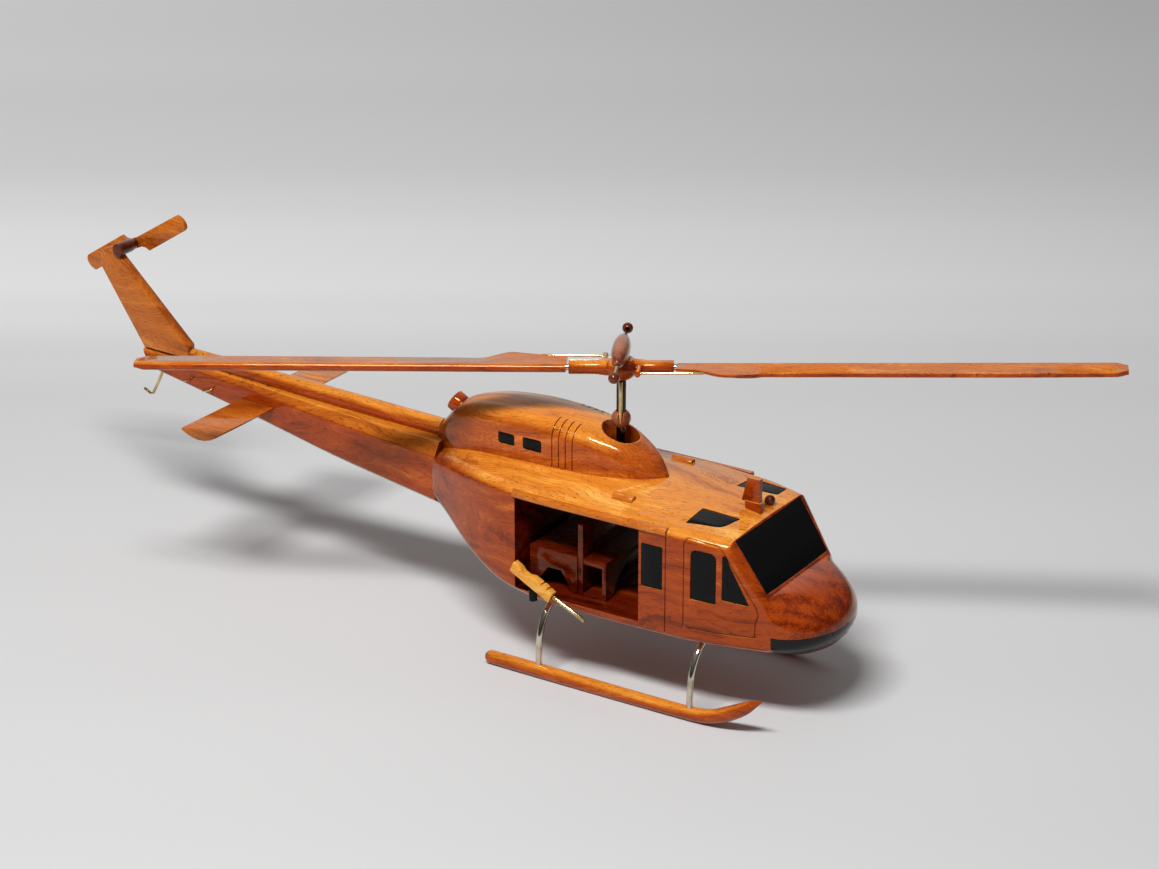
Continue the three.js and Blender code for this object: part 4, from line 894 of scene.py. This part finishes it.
# ---- floor and light ----
FLOOR_REACH = 20.0
floor = bpy.data.objects.new("floor", bpy.data.meshes.new("floor"))
bpy.context.scene.collection.objects.link(floor)
corners = [(-1, -1), (1, -1), (1, 1), (-1, 1)]
floor.data.from_pydata([(x * FLOOR_REACH, y * FLOOR_REACH, 0) for x, y in corners], [],
                       [(0, 1, 2, 3)])
paper = Nodes("paper")
spot = paper.add("TexCoord").outputs["Object"]
heading = math.atan2(CAMERA_LOOKS.y, CAMERA_LOOKS.x)
turned = paper.add("Mapping", Vector=spot, Rotation=(0, 0, -heading)).outputs[0]
depth = paper.add("SeparateXYZ", Vector=turned)
# the paper's light is painted: its tone grows lighter with depth in place of the light's
# fall-off, and painted emission makes a bright band across it behind the model, in metres of
# depth
FLOOR_PAINTED_LIGHT_TONES = [(-0.40, 0.59), (-0.22, 0.60), (-0.08, 0.635), (0.03, 0.67), (0.15, 0.71),
               (0.29, 0.75), (1.5, 0.75)]
FLOOR_PAINTED_GLOW = [(0.29, 0.0), (0.36, 0.045), (0.44, 0.125), (0.50, 0.17), (0.60, 0.175),
              (0.66, 0.155), (0.75, 0.13), (0.9, 0.138), (1.05, 0.165), (1.5, 0.2)]
FLOOR_FROM, FLOOR_SPAN = -0.5, 2.0
share = paper.math("MULTIPLY_ADD", depth.outputs[0], 1 / FLOOR_SPAN, -FLOOR_FROM / FLOOR_SPAN)
tones, painted_glow = [
    paper.ramp(share, [((at - FLOOR_FROM) / FLOOR_SPAN, grey(v)) for at, v in stops])
    for stops in (FLOOR_PAINTED_LIGHT_TONES, FLOOR_PAINTED_GLOW)
]
# the paper gives off light though it is no lamp: painted light
paper.shader.inputs["Emission Strength"].default_value = 1.0


def scaled(colour, share):
    node = paper.add("VectorMath", {"operation": "SCALE"})
    paper.feed(node.inputs[0], colour)
    paper.feed(node.inputs["Scale"], share)
    return node.outputs[0]


# the painted emission grows stronger from one side of the floor to the other
painted_lean = paper.add("MapRange", Value=depth.outputs[1], From_Min=-0.5, From_Max=0.5,
                 To_Min=0.5, To_Max=1.5).outputs[0]
paper.feed(paper.shader.inputs["Emission Color"], scaled(painted_glow, painted_lean))
mottle = paper.add("TexNoise", Vector=spot, Scale=900, Detail=2).outputs["Fac"]
evened = paper.math("MULTIPLY_ADD", mottle, 0.03, 0.985)
paper.feed(paper.shader.inputs["Base Color"], scaled(tones, evened))
paper.shader.inputs["Roughness"].default_value = 0.8
paper.shader.inputs["Specular IOR Level"].default_value = 0.15
floor.data.materials.append(paper.material)


# one long soft light above, on the camera's side
KEY_AT, KEY_TOWARDS = (0.174, -0.692, 1.193), (0.03, 0, 0.05)
KEY_SIZE, KEY_POWER = (0.6, 0.2), 18.6
key = bpy.data.lights.new("key", "AREA")
key.shape = "RECTANGLE"
key.size, key.size_y = KEY_SIZE
key.energy = KEY_POWER
lamp = bpy.data.objects.new("key", key)
lamp.location = KEY_AT
lamp.rotation_euler = (Vector(KEY_TOWARDS) - Vector(KEY_AT)).to_track_quat("-Z", "Y").to_euler()
bpy.context.scene.collection.objects.link(lamp)

world = bpy.data.worlds.new("studio")
bpy.context.scene.world = world
world.use_nodes = True
sky = world.node_tree
direction = sky.nodes.new("ShaderNodeTexCoord").outputs["Generated"]


def sky_lobe(towards, start, end, low, high):
    """Light that rises from low to high as the direction comes near to one."""
    near = sky.nodes.new("ShaderNodeVectorMath")
    near.operation = "DOT_PRODUCT"
    sky.links.new(direction, near.inputs[0])
    near.inputs[1].default_value = Vector(towards).normalized()
    fade = sky.nodes.new("ShaderNodeMapRange")
    fade.interpolation_type = "SMOOTHSTEP"
    sky.links.new(near.outputs["Value"], fade.inputs["Value"])
    for socket, value in (("From Min", start), ("From Max", end), ("To Min", low),
                          ("To Max", high)):
        fade.inputs[socket].default_value = value
    return fade.outputs[0]


ceiling = sky_lobe((0, 0, 1), 0.0, 0.95, 0.03, 0.24)
backdrop = sky_lobe((-0.55, 0.78, 0.32), 0.70, 0.95, 0.0, 0.42)
total = sky.nodes.new("ShaderNodeMath")
sky.links.new(ceiling, total.inputs[0])
sky.links.new(backdrop, total.inputs[1])
sky.links.new(total.outputs[0], sky.nodes["Background"].inputs["Color"])
